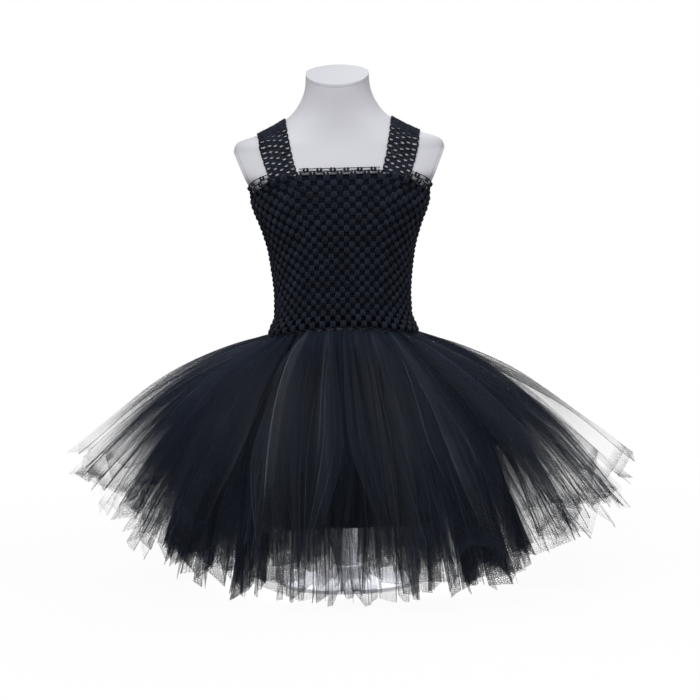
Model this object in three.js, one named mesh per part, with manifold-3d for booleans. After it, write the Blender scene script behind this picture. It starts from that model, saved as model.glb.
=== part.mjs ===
// A child's tutu dress on a limbless dress form with a pole and a round base.
// Units are millimetres, +Z is up, the front of the dress faces -Y and its wearer's left is +X.
// The origin is the centre of the base's underside, on the surface that it stands on.

import * as THREE from "three";
import { mergeVertices } from "three/addons/utils/BufferGeometryUtils.js";
import Module from "manifold-3d";

const wasm = await Module();
wasm.setup();

// ---------------------------------------------------------------- driving dimensions

const SEAM_GAP = 0.3; // between pieces that are sewn or screwed to each other
const DEG = Math.PI / 180;

// The dress form's body, as oval sections from the hips up to the neck.
// front and back are depths from the vertical axis; power 2 is an ellipse and more is squarer.
const FORM_SECTIONS = [
  { z: 160, halfWidth: 86, front: 57, back: 69, power: 2.3 },
  { z: 168, halfWidth: 94, front: 64, back: 77, power: 2.3 },
  { z: 190, halfWidth: 98, front: 67, back: 81, power: 2.3 },
  { z: 251, halfWidth: 103, front: 72, back: 84, power: 2.3 },
  { z: 290, halfWidth: 100, front: 74, back: 79, power: 2.3 },
  { z: 320, halfWidth: 96, front: 75, back: 73, power: 2.3 },
  { z: 345, halfWidth: 91.5, front: 74.5, back: 69, power: 2.3 },
  { z: 370, halfWidth: 88, front: 73.5, back: 65, power: 2.3 },
  { z: 400, halfWidth: 87.5, front: 72, back: 64, power: 2.3 },
  { z: 456, halfWidth: 94.5, front: 73, back: 68, power: 2.3 },
  { z: 486, halfWidth: 103, front: 75.5, back: 73, power: 2.3 },
  { z: 506, halfWidth: 111, front: 76, back: 75, power: 2.3 },
  { z: 521, halfWidth: 115.5, front: 75, back: 77, power: 2.3 },
  { z: 534, halfWidth: 116.5, front: 73, back: 77, power: 2.3 },
  { z: 541, halfWidth: 121, front: 71, back: 77, power: 2.25 },
  { z: 548, halfWidth: 133, front: 69, back: 76, power: 2.2 },
  { z: 556, halfWidth: 144, front: 67, back: 75, power: 2.15 },
  { z: 566, halfWidth: 149, front: 64, back: 73, power: 2.1 },
  { z: 578, halfWidth: 147, front: 60, back: 70, power: 2.05 },
  { z: 590, halfWidth: 141.5, front: 56, back: 66, power: 2.05 },
  { z: 597, halfWidth: 139.5, front: 53, back: 63, power: 2.05 },
  { z: 603.5, halfWidth: 133, front: 49, back: 59, power: 2.0 },
  { z: 610, halfWidth: 112, front: 47, back: 57, power: 2.0 },
  { z: 620, halfWidth: 90, front: 47, back: 55, power: 2.0 },
  { z: 631, halfWidth: 71, front: 47, back: 53, power: 2.0 },
  { z: 640, halfWidth: 60.5, front: 47, back: 50, power: 2.0 },
  { z: 650, halfWidth: 53, front: 47, back: 46, power: 2.0 },
  { z: 663, halfWidth: 46.5, front: 48, back: 40, power: 2.0 },
  { z: 677, halfWidth: 43, front: 49, back: 36, power: 2.0 },
  { z: 712, halfWidth: 42, front: 50, back: 34, power: 2.0 },
];
const AROUND = 32; // facets round the form and round each cloth tube on it, so that they stay parallel
const NECK = { z: 686, y: -7, tilt: 16 * DEG, cap: 4 }; // the slanted flat top and its cap's thickness
// The arm's cut: a plane through x and z that leans out above, only above the armpit, and its plate.
const ARM = { x: 119.7, z: 539, lean: Math.atan(0.43), armpit: 535, plate: 4 };
const POLE = { radius: 12.5, socket: 40, sides: 24 };
// The base's disc rises from its rim to its plate height at the hub, which holds the pole's foot.
const BASE = {
  radius: 90, rim: 5, plate: 7, hub: 20, hubTop: 26, seat: 6, chamfer: 1.5, fillet: 4, round: 36,
};

// Crochet bodice: a stretched tube, lined, with an open two-row edging round its top.
const LINING_WALL = { from: 0.9, to: 1.9 }; // distances out from the form
const CROCHET_WALL = { from: 2.2, to: 4.6 };
const BODICE_TOP = { front: 562, underarm: 539, back: 557, dipStart: 28 * DEG };
// rows are the two rows' heights as shares of the edging's height, from its middle.
const EDGING = { height: 9.4, rows: [-0.22, 0.24], holeWidth: 7.5, holeHeight: 3.2, pitch: 16 };
const WAIST = { z: 342, frontRise: 16, backRise: 4, flare: 5, flareHeight: 26 };

// Crochet straps over the shoulders.
const STRAP = {
  width: 38,
  wall: { from: 1.2, to: 3.7 },
  endX: 74, // centre of both ends
  topShift: 15, // how much further out the strap runs at the shoulder
  columns: 5,
  columnPitch: 7.4,
  holes: 20, // in each column
  holeWidth: 5.2,
  holeHeight: 2.4,
};

// Skirt: an opaque lining and three tiers of tulle strips tied below the bodice.
// Below the hips the lining widens to its hem, where it hangs in soft waves, and ease is its slack there.
const SKIRT_LINING = {
  wall: { from: 0.5, to: 1.5 },
  hips: 251,
  hem: 97,
  hemDip: 2.5,
  hemWidth: 115,
  hemFront: 97,
  hemBack: 108,
  wave: 3.5,
  ease: { start: WAIST.z - 22, depth: 60, out: 2 },
  rows: [0, 0.14, 0.34, 0.62, 0.82, 1], // shares of its height from the waist
};
const TULLE_WALL = 1.6; // measured square to a strip's run, so its steep folds are still over 1 mm
const STRIPS_PER_GROUP = 3;
const GROUPS = 8;
// band is the root's distance out from the form, and bandTop and bandFoot are depths below the waist seam.
// rootSide and endSide are slopes below level in degrees, at a strip's root and end, on the dress's sides,
// and rootFront and endFront are the same at its front and back.
// trim is how much shorter the side strips are, and sway makes them uneven from one side to the other.
const TIERS = [
  {
    name: "top", band: 5.6, bandTop: 0.5, bandFoot: 5.5, length: 335,
    rootSide: 8, endSide: 38, rootFront: 24, endFront: 67, trim: 10, sway: 16,
  },
  {
    name: "middle", band: 3.9, bandTop: 2.5, bandFoot: 9, length: 342,
    rootSide: 25, endSide: 54, rootFront: 42, endFront: 75, trim: 6, sway: 12,
  },
  {
    name: "lower", band: 2.2, bandTop: 6, bandFoot: 13, length: 350,
    rootSide: 42, endSide: 69, rootFront: 60, endFront: 80, trim: 2, sway: 8,
  },
];
const STRIP_RUNS = [0.13, 0.46, 1]; // shares of a strip's length at which it is bent
const BAND_WALL = 1.4;
const PITCH = (2 * Math.PI) / (GROUPS * STRIPS_PER_GROUP); // of the strips round the waist
// points lie over a strip's folds, openBy is the share of its run by which they stand open, stagger shifts
// each tier by a part of the pitch, and the spreads are half a strip's width as parts of the pitch.
const STRIP = {
  points: 4, openBy: 0.25, stagger: 0.37,
  spread: 0.43, bandSpread: 0.42, spreadVary: 0.02, lengthVary: 6, slopeVary: 1.5,
};

// ---------------------------------------------------------------- materials

const fabricBlack = (colour, roughness) =>
  new THREE.MeshStandardMaterial({ color: colour, roughness, metalness: 0, side: THREE.DoubleSide });
const crochetYarn = fabricBlack(0x191b22, 0.9);
const liningSatin = fabricBlack(0x15171d, 0.55);
const tulle = fabricBlack(0x1c1f28, 0.8);
const whiteShell = new THREE.MeshStandardMaterial({ color: 0xdadbe0, roughness: 0.45, metalness: 0 });
const whiteSteel = new THREE.MeshStandardMaterial({ color: 0xe6e7ea, roughness: 0.35, metalness: 0.1 });

// ---------------------------------------------------------------- small maths

const lerp = (a, b, t) => a + (b - a) * t;
const clamp01 = (t) => Math.min(1, Math.max(0, t));
const smooth = (t) => clamp01(t) ** 2 * (3 - 2 * clamp01(t));
const signedPower = (v, p) => Math.sign(v) * Math.abs(v) ** p;
const series = (count, make) => Array.from({ length: count }, (_, k) => make(k));
const roundAngle = (k, count) => (k / count) * 2 * Math.PI;

// The value between low and high at which a rising test turns true.
function turningPoint(low, high, test) {
  for (let k = 0; k < 40; k++) {
    const middle = (low + high) / 2;
    if (test(middle)) high = middle;
    else low = middle;
  }
  return low;
}

// A fixed uneven number from -1 to 1 for each whole number, for the strips' small differences.
const uneven = (n) => {
  const v = Math.sin(n * 12.9898 + 4.1) * 43758.5453;
  return (v - Math.floor(v)) * 2 - 1;
};

// The form's section at a height: a smooth curve through the table's rows.
function sectionAt(z) {
  const rows = FORM_SECTIONS;
  const last = rows.length - 2;
  let i = rows.findIndex((r, k) => k <= last && z <= rows[k + 1].z);
  if (i < 0) i = last;
  const [low, high] = [rows[i], rows[i + 1]];
  const [before, after] = [rows[Math.max(i - 1, 0)], rows[Math.min(i + 2, last + 1)]];
  const span = high.z - low.z;
  const t = clamp01((z - low.z) / span);
  const value = (key) => {
    const rise = high[key] - low[key];
    const slopeLow = limited((high[key] - before[key]) / (high.z - before.z), rise / span);
    const slopeHigh = limited((after[key] - low[key]) / (after.z - low.z), rise / span);
    const [t2, t3] = [t * t, t * t * t];
    return (
      (2 * t3 - 3 * t2 + 1) * low[key] + (t3 - 2 * t2 + t) * span * slopeLow +
      (3 * t2 - 2 * t3) * high[key] + (t3 - t2) * span * slopeHigh
    );
  };
  return {
    halfWidth: value("halfWidth"), front: value("front"), back: value("back"), power: value("power"),
  };
}

// Keeps a curve from overshooting between two rows.
function limited(slope, chord) {
  if (slope * chord <= 0) return 0;
  return Math.sign(slope) * Math.min(Math.abs(slope), 3 * Math.abs(chord));
}

// A point on a section grown outwards by `out`. angle 0 is the front and 90 degrees is +X.
function onSection(section, angle, out, z) {
  const p = 2 / section.power;
  const c = Math.cos(angle);
  const depth = (c > 0 ? section.front : section.back) + out;
  return new THREE.Vector3(
    (section.halfWidth + out) * signedPower(Math.sin(angle), p),
    -depth * signedPower(c, p),
    z,
  );
}

const onForm = (angle, out, z) => onSection(sectionAt(z), angle, out, z);

// ---------------------------------------------------------------- solids from points

function signedVolume(points, triangles) {
  const cross = new THREE.Vector3();
  const product = ([a, b, c]) => points[a].dot(cross.crossVectors(points[b], points[c]));
  return triangles.reduce((sum, triangle) => sum + product(triangle), 0) / 6;
}

function geometryOf(points, triangles) {
  const outward = signedVolume(points, triangles) < 0 ? triangles.map(([a, b, c]) => [a, c, b]) : triangles;
  const geometry = new THREE.BufferGeometry();
  const places = points.flatMap((p) => [p.x, p.y, p.z]);
  geometry.setAttribute("position", new THREE.Float32BufferAttribute(places, 3));
  geometry.setIndex(outward.flat());
  geometry.computeVertexNormals();
  return geometry;
}

// A closed cloth wall: two skins with one triangle list, joined along every free edge.
function wall(outer, inner, triangles) {
  const n = outer.length;
  const directed = new Set(triangles.flatMap(([a, b, c]) => [`${a},${b}`, `${b},${c}`, `${c},${a}`]));
  const all = triangles.flatMap(([a, b, c]) => [[a, b, c], [a + n, c + n, b + n]]);
  for (const [a, b, c] of triangles)
    for (const [p, q] of [[a, b], [b, c], [c, a]])
      if (!directed.has(`${q},${p}`)) all.push([p, p + n, q], [q, p + n, q + n]);
  return geometryOf([...outer, ...inner], all);
}

// Triangles of a grid of cells. `has` says which cells are cloth; a wrapped grid closes on itself.
function gridTriangles(columns, rows, wrapped, has = () => true) {
  const across = wrapped ? columns : columns + 1;
  const id = (i, j) => j * across + (i % across);
  const triangles = [];
  for (let j = 0; j < rows; j++)
    for (let i = 0; i < columns; i++)
      if (has(i, j)) {
        triangles.push([id(i, j), id(i + 1, j), id(i + 1, j + 1)]);
        triangles.push([id(i, j), id(i + 1, j + 1), id(i, j + 1)]);
      }
  return triangles;
}

// A cloth tube: `place(angle, share, side)` gives its inner (side 0) and outer (side 1) points.
function clothTube(shares, place) {
  const ring = (share, side) => series(AROUND, (i) => place(roundAngle(i, AROUND), share, side));
  const skin = (side) => shares.flatMap((share) => ring(share, side));
  return wall(skin(1), skin(0), gridTriangles(AROUND, shares.length - 1, true));
}

// A stack of closed rings with a flat fan at each end.
function loft(rings) {
  const n = rings[0].length;
  const points = rings.flat();
  const centres = [rings[0], rings.at(-1)].map((ring) =>
    ring.reduce((sum, p) => sum.add(p), new THREE.Vector3()).divideScalar(n));
  const [foot, head] = [points.length, points.length + 1];
  const triangles = gridTriangles(n, rings.length - 1, true);
  const top = (rings.length - 1) * n;
  for (let i = 0; i < n; i++) {
    const next = (i + 1) % n;
    triangles.push([foot, next, i], [head, top + i, top + next]);
  }
  return geometryOf([...points, ...centres], triangles);
}

function solidOf(geometry) {
  const bare = geometry.clone();
  bare.deleteAttribute("normal");
  bare.deleteAttribute("uv");
  const merged = mergeVertices(bare, 1e-4);
  return new wasm.Manifold(new wasm.Mesh({
    numProp: 3,
    vertProperties: merged.attributes.position.array,
    triVerts: new Uint32Array(merged.index.array),
  }));
}

function geometryFrom(solid) {
  const mesh = solid.getMesh();
  const geometry = new THREE.BufferGeometry();
  const positions = new Float32Array(mesh.numVert * 3);
  for (let i = 0; i < mesh.numVert; i++)
    positions.set(mesh.vertProperties.subarray(i * mesh.numProp, i * mesh.numProp + 3), i * 3);
  geometry.setAttribute("position", new THREE.BufferAttribute(positions, 3));
  geometry.setIndex([...mesh.triVerts]);
  geometry.computeVertexNormals();
  return geometry;
}

const group = new THREE.Group();
function add(name, geometry, material) {
  const mesh = new THREE.Mesh(geometry, material);
  mesh.name = name;
  group.add(mesh);
}

// ---------------------------------------------------------------- a net wall with staggered holes

// Columns of four-cornered holes, every other column half a step along. u runs across, v along, both in
// the caller's own units; place(u, v, side) gives the skins.
function netWall({ columns, halfAcross, holes, halfHoleU, halfHoleV, start, end, place }) {
  const points = [];
  const triangles = [];
  const vertex = (u, v) => points.push({ u, v }) - 1;
  const step = (end - start) / (holes + 1);
  const chain = (u, vs) => vs.map((v) => vertex(u, v));
  const edge = (u) => chain(u, series(holes + 1, (k) => lerp(start, end, k / holes)));
  // Fills the strip between a left chain and a right chain, always stepping the shorter one.
  const zip = (left, right) => {
    let [i, j] = [0, 0];
    while (i < left.length - 1 || j < right.length - 1) {
      const stepLeft = j === right.length - 1 ||
        (i < left.length - 1 && points[left[i + 1]].v <= points[right[j + 1]].v);
      if (stepLeft) triangles.push([left[i], right[j], left[++i]]);
      else triangles.push([left[i], right[j], right[++j]]);
    }
  };
  let previous = edge(-halfAcross);
  columns.forEach((centre, c) => {
    const middles = series(holes, (k) => start + step * (k + 0.75 + 0.5 * (c % 2)));
    const vs = [start, ...middles, end];
    const left = chain(centre - halfHoleU, vs);
    const right = chain(centre + halfHoleU, vs);
    const foot = chain(centre, middles.map((v) => v - halfHoleV));
    const head = chain(centre, middles.map((v) => v + halfHoleV));
    for (let k = 0; k <= holes; k++) {
      const [l0, l1, r0, r1] = [left[k], left[k + 1], right[k], right[k + 1]];
      const below = k > 0 ? head[k - 1] : null;
      const above = k < holes ? foot[k] : null;
      if (below === null) triangles.push([l0, r0, above], [r0, r1, above], [l0, above, l1]);
      else if (above === null) triangles.push([l0, below, l1], [below, r0, r1], [below, r1, l1]);
      else triangles.push([l0, below, l1], [below, above, l1], [below, r1, above], [below, r0, r1]);
    }
    zip(previous, left);
    previous = right;
  });
  zip(previous, edge(halfAcross));
  const skin = (side) => points.map(({ u, v }) => place(u, v, side));
  return wall(skin(1), skin(0), triangles);
}

// ---------------------------------------------------------------- the dress form

const ring = ({ z }) => series(AROUND, (i) => onForm(roundAngle(i, AROUND), 0, z));
const body = solidOf(loft(FORM_SECTIONS.map(ring)));

// A block that fills one side of a tilted plane, from `near` to `far` along its normal.
function slab(origin, normal, near, far) {
  const size = 600;
  const block = new THREE.BoxGeometry(size, size, far - near);
  block.translate(0, 0, (near + far) / 2);
  block.applyQuaternion(new THREE.Quaternion().setFromUnitVectors(new THREE.Vector3(0, 0, 1), normal));
  block.translate(origin.x, origin.y, origin.z);
  return solidOf(block);
}

const FAR = 500;
const neckCut = [
  new THREE.Vector3(0, NECK.y, NECK.z),
  new THREE.Vector3(0, -Math.sin(NECK.tilt), Math.cos(NECK.tilt)),
];
const armCut = (side) => [
  new THREE.Vector3(side * ARM.x, 0, ARM.z),
  new THREE.Vector3(side * Math.cos(ARM.lean), 0, -Math.sin(ARM.lean)),
];
const aboveArmpit = (z) => slab(new THREE.Vector3(0, 0, z), new THREE.Vector3(0, 0, 1), 0, FAR);
const armBlock = (side, near, far, foot) => slab(...armCut(side), near, far).intersect(aboveArmpit(foot));
const bore = POLE.radius + SEAM_GAP;
const socket = new THREE.CylinderGeometry(bore, bore, 2 * POLE.socket, POLE.sides);
socket.rotateX(Math.PI / 2);
const formFoot = FORM_SECTIONS[0].z;
socket.translate(0, 0, formFoot);

const torso = [1, -1].reduce(
  (solid, side) => solid.subtract(armBlock(side, -ARM.plate - SEAM_GAP, FAR, ARM.armpit - SEAM_GAP)),
  body.subtract(slab(...neckCut, 0, FAR)).subtract(solidOf(socket)),
);
add("form_torso", geometryFrom(torso), whiteShell);
const neckSlab = slab(...neckCut, SEAM_GAP, SEAM_GAP + NECK.cap);
add("form_neck_cap", geometryFrom(body.intersect(neckSlab)), whiteShell);
const armPlate = (side) => body.intersect(armBlock(side, -ARM.plate, 0, ARM.armpit));
add("form_arm_plate_left", geometryFrom(armPlate(1)), whiteShell);
add("form_arm_plate_right", geometryFrom(armPlate(-1)), whiteShell);

const poleTop = formFoot + POLE.socket - SEAM_GAP;
const poleFoot = BASE.seat + SEAM_GAP;
const pole = new THREE.CylinderGeometry(POLE.radius, POLE.radius, poleTop - poleFoot, POLE.sides);
pole.rotateX(Math.PI / 2);
pole.translate(0, 0, (poleTop + poleFoot) / 2);
add("form_pole", pole, whiteSteel);

const baseProfile = [
  [0, 0],
  [BASE.radius, 0],
  [BASE.radius, BASE.rim - BASE.chamfer],
  [BASE.radius - BASE.chamfer, BASE.rim],
  [BASE.hub + BASE.fillet, BASE.plate],
  [BASE.hub, BASE.plate + BASE.fillet],
  [BASE.hub, BASE.hubTop - BASE.chamfer],
  [BASE.hub - BASE.chamfer, BASE.hubTop],
  [bore, BASE.hubTop],
  [bore, BASE.seat],
  [0, BASE.seat],
].map(([r, z]) => new THREE.Vector2(r, z));
const base = new THREE.LatheGeometry(baseProfile, BASE.round);
base.rotateX(Math.PI / 2);
add("form_base", geometryFrom(solidOf(base)), whiteSteel);

// ---------------------------------------------------------------- the bodice

// How far round from the front or the back, folded to 0..90 degrees.
const fromCentre = (angle) => Math.asin(Math.min(1, Math.abs(Math.sin(angle))));
const waistHeight = (angle) => {
  const c = Math.cos(angle);
  return WAIST.z + (c > 0 ? WAIST.frontRise : WAIST.backRise) * c * c;
};
const bodiceTop = (angle) => {
  const middle = Math.cos(angle) > 0 ? BODICE_TOP.front : BODICE_TOP.back;
  const t = clamp01((fromCentre(angle) - BODICE_TOP.dipStart) / (Math.PI / 2 - BODICE_TOP.dipStart));
  return lerp(middle, BODICE_TOP.underarm, Math.sin((t * Math.PI) / 2));
};
const edgingFoot = (angle) => bodiceTop(angle) - EDGING.height;
const flareAt = (angle, z) => WAIST.flare * (1 - smooth((z - waistHeight(angle)) / WAIST.flareHeight));
const wallSide = (span, side) => (side ? span.to : span.from);

const UNDERARM_FOOT = BODICE_TOP.underarm - EDGING.height - SEAM_GAP;
const BODICE_ROW_HEIGHTS = [WAIST.z, 370, 400, 456, 486, 506, 521, UNDERARM_FOOT]; // at the side seams
const BODICE_ROWS = BODICE_ROW_HEIGHTS.map((z) => (z - WAIST.z) / (UNDERARM_FOOT - WAIST.z));
const bodiceHeight = (angle, share) => lerp(waistHeight(angle), edgingFoot(angle) - SEAM_GAP, share);
add("bodice_crochet", clothTube(BODICE_ROWS, (angle, share, side) => {
  const z = bodiceHeight(angle, share);
  return onForm(angle, wallSide(CROCHET_WALL, side) + flareAt(angle, z), z);
}), crochetYarn);

add("bodice_lining", clothTube(BODICE_ROWS, (angle, share, side) =>
  onForm(angle, wallSide(LINING_WALL, side), bodiceHeight(angle, share)),
), liningSatin);

// The angle at which the bodice's edge at `height(angle)` reaches a sideways place, at the front or back.
function edgeAngleAt(x, atBack, height, out = CROCHET_WALL.to) {
  const seen = (turn) => (atBack ? Math.PI - turn : turn);
  return seen(turningPoint(0, Math.PI / 2, (turn) => onForm(seen(turn), out, height(seen(turn))).x >= x));
}

const strapInner = STRAP.endX - STRAP.width / 2 - 2 * SEAM_GAP;
const strapOuter = STRAP.endX + STRAP.width / 2 + 5 * SEAM_GAP;
function edging(name, from, to) {
  const middle = onForm((from + to) / 2, 0, edgingFoot((from + to) / 2));
  const length = [from, to].reduce((sum, a) => sum + onForm(a, 0, edgingFoot(a)).distanceTo(middle), 0);
  const holes = Math.round(length / EDGING.pitch) - 1;
  add(name, netWall({
    columns: EDGING.rows.map((share) => share * EDGING.height),
    halfAcross: EDGING.height / 2,
    holes,
    halfHoleU: EDGING.holeHeight / 2,
    halfHoleV: ((to - from) / length) * (EDGING.holeWidth / 2),
    start: from,
    end: to,
    place: (u, angle, side) =>
      onForm(angle, wallSide(CROCHET_WALL, side), edgingFoot(angle) + EDGING.height / 2 + u),
  }), crochetYarn);
}
const [frontIn, backIn] = [false, true].map((atBack) => edgeAngleAt(strapInner, atBack, bodiceTop));
const [frontOut, backOut] = [false, true].map((atBack) =>
  edgeAngleAt(strapOuter, atBack, edgingFoot, CROCHET_WALL.from));
edging("edging_front", -frontIn, frontIn);
edging("edging_back", backIn, 2 * Math.PI - backIn);
edging("edging_left", frontOut, backOut);
edging("edging_right", 2 * Math.PI - backOut, 2 * Math.PI - frontOut);

// ---------------------------------------------------------------- the straps

// How far a point lies inside the form: below 1 inside, 1 on its surface.
function formField(x, y, z) {
  const s = sectionAt(z);
  const depth = y < 0 ? s.front : s.back;
  return Math.abs(x / s.halfWidth) ** s.power + Math.abs(y / depth) ** s.power;
}

// The form's surface in the upright plane at x, seen from a pivot in the chest.
// turn 0 looks forwards, 90 degrees looks up and 180 degrees looks back.
const CHEST_PIVOT = { z: 540, reach: 140 };
function shoulderPoint(x, turn) {
  const at = (r) => new THREE.Vector3(x, -r * Math.cos(turn), CHEST_PIVOT.z + r * Math.sin(turn));
  return at(turningPoint(0, CHEST_PIVOT.reach, (r) => formField(...at(r).toArray()) >= 1));
}

function formNormal(p) {
  const d = 0.5;
  const slope = (dx, dy, dz) =>
    formField(p.x + dx, p.y + dy, p.z + dz) - formField(p.x - dx, p.y - dy, p.z - dz);
  return new THREE.Vector3(slope(d, 0, 0), slope(0, d, 0), slope(0, 0, d)).normalize();
}

// The turn at which the shoulder's surface comes down to a height.
function turnAtHeight(x, z, atBack) {
  const seen = (turn) => (atBack ? Math.PI - turn : turn);
  return seen(turningPoint(0, Math.PI / 2, (turn) => shoulderPoint(x, seen(turn)).z >= z));
}

function strap(name, hand) {
  const centre = (share) => STRAP.endX + STRAP.topShift * Math.sin(Math.PI * share);
  const foot = (x, atBack) => edgingFoot(edgeAngleAt(x, atBack, edgingFoot)) + 2 * SEAM_GAP;
  const footTurn = (x, atBack) => turnAtHeight(x, foot(x, atBack), atBack);
  const turnFor = (x, share) => lerp(footTurn(x, false), footTurn(x, true), share);
  // Shares of the turn that divide the strap's length evenly.
  const samples = 60;
  const track = series(samples + 1, (k) => {
    const x = centre(k / samples);
    return shoulderPoint(x, turnFor(x, k / samples));
  });
  const reach = [0];
  for (let k = 1; k <= samples; k++) reach.push(reach[k - 1] + track[k].distanceTo(track[k - 1]));
  const total = reach[samples];
  const evenShare = (along) => {
    const k = Math.min(samples - 1, Math.max(0, reach.findIndex((r) => r > along * total) - 1));
    if (along >= 1) return 1;
    return (k + (along * total - reach[k]) / (reach[k + 1] - reach[k])) / samples;
  };
  add(name, netWall({
    columns: series(STRAP.columns, (c) => (c - (STRAP.columns - 1) / 2) * STRAP.columnPitch),
    halfAcross: STRAP.width / 2,
    holes: STRAP.holes,
    halfHoleU: STRAP.holeWidth / 2,
    halfHoleV: STRAP.holeHeight / 2 / total,
    start: 0,
    end: 1,
    place: (u, along, side) => {
      const share = evenShare(clamp01(along));
      const x = centre(share) + u;
      const p = shoulderPoint(x, turnFor(x, share));
      p.addScaledVector(formNormal(p), wallSide(STRAP.wall, side));
      p.x *= hand;
      return p;
    },
  }), crochetYarn);
}
strap("strap_left", 1);
strap("strap_right", -1);

// ---------------------------------------------------------------- the skirt's lining

add("skirt_lining", clothTube(SKIRT_LINING.rows, (angle, share, side) => {
  const { wall: span, hips, hem, hemDip, hemWidth, hemFront, hemBack, wave, ease } = SKIRT_LINING;
  const z = lerp(waistHeight(angle) - SEAM_GAP, hem + hemDip * Math.sin(3 * angle + 1.2), share);
  const drop = clamp01((hips - z) / (hips - hem));
  const section = sectionAt(Math.max(z, hips));
  section.halfWidth = lerp(section.halfWidth, hemWidth, drop);
  section.front = lerp(section.front, hemFront, drop);
  section.back = lerp(section.back, hemBack, drop);
  const waves = wave * drop * (Math.sin(7 * angle + 0.6) + 0.6 * Math.sin(11 * angle + 2));
  const slack = ease.out * smooth((ease.start - z) / ease.depth);
  return onSection(section, angle, wallSide(span, side) + slack + waves, z);
}), liningSatin);

// ---------------------------------------------------------------- the tulle strips

// Where a strip's run has got to after a share of its length: outwards and down, and its slope there.
function runOut(length, startSlope, endSlope, share) {
  const steps = 24;
  let [out, down, slope] = [0, 0, startSlope];
  for (let k = 0; k < steps; k++) {
    const t = ((k + 0.5) / steps) * share;
    slope = endSlope - (endSlope - startSlope) * (1 - t) ** 2;
    out += (Math.cos(slope) * length * share) / steps;
    down += (Math.sin(slope) * length * share) / steps;
  }
  return { out, down, slope };
}

// One strip's own sizes, from its tier and its number round the waist.
function stripCut(tier, tierIndex, number) {
  const seed = tierIndex * 100 + number;
  return {
    spread: 2 * (STRIP.spread + STRIP.spreadVary * uneven(seed)),
    longer: STRIP.lengthVary * uneven(seed + 57),
    steeper: STRIP.slopeVary * uneven(seed + 31),
  };
}

// The point of a strip's fold line after a share of its run, with the wall's side and the zigzag's phase.
function stripPoint(tier, cut, angle, share, side, zigzag) {
  const [s, c2] = [Math.sin(angle), Math.cos(angle) ** 2];
  const seam = waistHeight(angle);
  const levelled = tier.length - (waistHeight(0) - seam);
  const length = levelled - tier.trim * s * s + tier.sway * s + cut.longer;
  const start = lerp(tier.rootSide, tier.rootFront, c2) * DEG;
  const end = (lerp(tier.endSide, tier.endFront, c2) + cut.steeper * share) * DEG;
  const { out, down, slope } = runOut(length, start, end, share);
  const facing = new THREE.Vector3(s, -Math.cos(angle), 0);
  const up = facing.clone().multiplyScalar(Math.sin(slope)).setZ(Math.cos(slope));
  const root = seam - tier.bandFoot;
  const p = onForm(angle, tier.band + BAND_WALL / 2, root).addScaledVector(facing, out);
  p.z = root - down;
  const foldFace = (Math.hypot(p.x, p.y) * PITCH * cut.spread) / (STRIP.points - 1);
  const fold = zigzag * foldFace * clamp01(share / STRIP.openBy);
  return p.addScaledVector(up, fold + (side - 0.5) * TULLE_WALL);
}

// Three strips side by side, parted below the narrow band that stands for their knots.
function tulleGroup(tier, tierIndex, groupIndex) {
  const first = groupIndex * STRIPS_PER_GROUP;
  const cuts = series(STRIPS_PER_GROUP, (k) => stripCut(tier, tierIndex, first + k));
  const columns = STRIPS_PER_GROUP * STRIP.points - 1;
  const rows = STRIP_RUNS.length + 1;
  const place = (i, j, side) => {
    const strip = Math.floor(i / STRIP.points);
    const cut = cuts[strip];
    const spread = j < 2 ? 2 * STRIP.bandSpread : cut.spread;
    const point = (i % STRIP.points) / (STRIP.points - 1) - 0.5;
    const angle = PITCH * (first + strip + 0.5 + tierIndex * STRIP.stagger + spread * point);
    const seam = waistHeight(angle);
    const bandOut = tier.band + (side ? BAND_WALL : 0);
    if (j === 0) return onForm(angle, bandOut, seam - tier.bandTop);
    if (j === 1) return onForm(angle, bandOut, seam - tier.bandFoot - (side ? 0 : BAND_WALL));
    const zigzag = (i % STRIP.points) % 2 ? 0.5 : -0.5;
    return stripPoint(tier, cut, angle, STRIP_RUNS[j - 2], side, zigzag);
  };
  const skin = (side) => series(rows + 1, (j) => series(columns + 1, (i) => place(i, j, side))).flat();
  const isCloth = (i, j) => j === 0 || i % STRIP.points !== STRIP.points - 1;
  const triangles = gridTriangles(columns, rows, false, isCloth);
  add(`tulle_${tier.name}_${groupIndex + 1}`, wall(skin(1), skin(0), triangles), tulle);
}
TIERS.forEach((tier, t) => {
  for (let g = 0; g < GROUPS; g++) tulleGroup(tier, t, g);
});

export default group;
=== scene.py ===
"""A child's black tutu dress on a white limbless dress form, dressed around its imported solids.

Sizes are in millimetres unless a name says otherwise. +Z is up and the dress's front faces -Y. Angles run
round the vertical axis from the front, 0, towards the wearer's left, +X.
"""
import logging
import math
from dataclasses import dataclass
from enum import Enum
from typing import Any, Callable, NamedTuple, Sequence

import bmesh
import bpy
import numpy as np
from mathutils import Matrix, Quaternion, Vector


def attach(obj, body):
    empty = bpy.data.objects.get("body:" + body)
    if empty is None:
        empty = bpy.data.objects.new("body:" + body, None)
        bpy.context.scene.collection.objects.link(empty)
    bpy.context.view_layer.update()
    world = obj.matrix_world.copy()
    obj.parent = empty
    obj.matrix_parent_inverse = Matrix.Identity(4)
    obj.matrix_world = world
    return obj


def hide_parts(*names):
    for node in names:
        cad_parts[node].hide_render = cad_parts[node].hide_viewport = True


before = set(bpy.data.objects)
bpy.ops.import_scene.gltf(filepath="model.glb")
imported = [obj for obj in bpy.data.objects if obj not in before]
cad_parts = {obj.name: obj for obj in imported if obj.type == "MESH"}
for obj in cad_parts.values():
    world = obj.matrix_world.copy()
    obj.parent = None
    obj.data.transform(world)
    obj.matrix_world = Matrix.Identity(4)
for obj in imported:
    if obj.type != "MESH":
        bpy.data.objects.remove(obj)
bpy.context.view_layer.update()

MM = 0.001
TAU = 2 * math.pi
BODY = "root"
log = logging.getLogger("tutu_dress")

Array = np.ndarray
Place = Callable[[Array, Array], Array]


# ---------------------------------------------------------------- small maths

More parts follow.
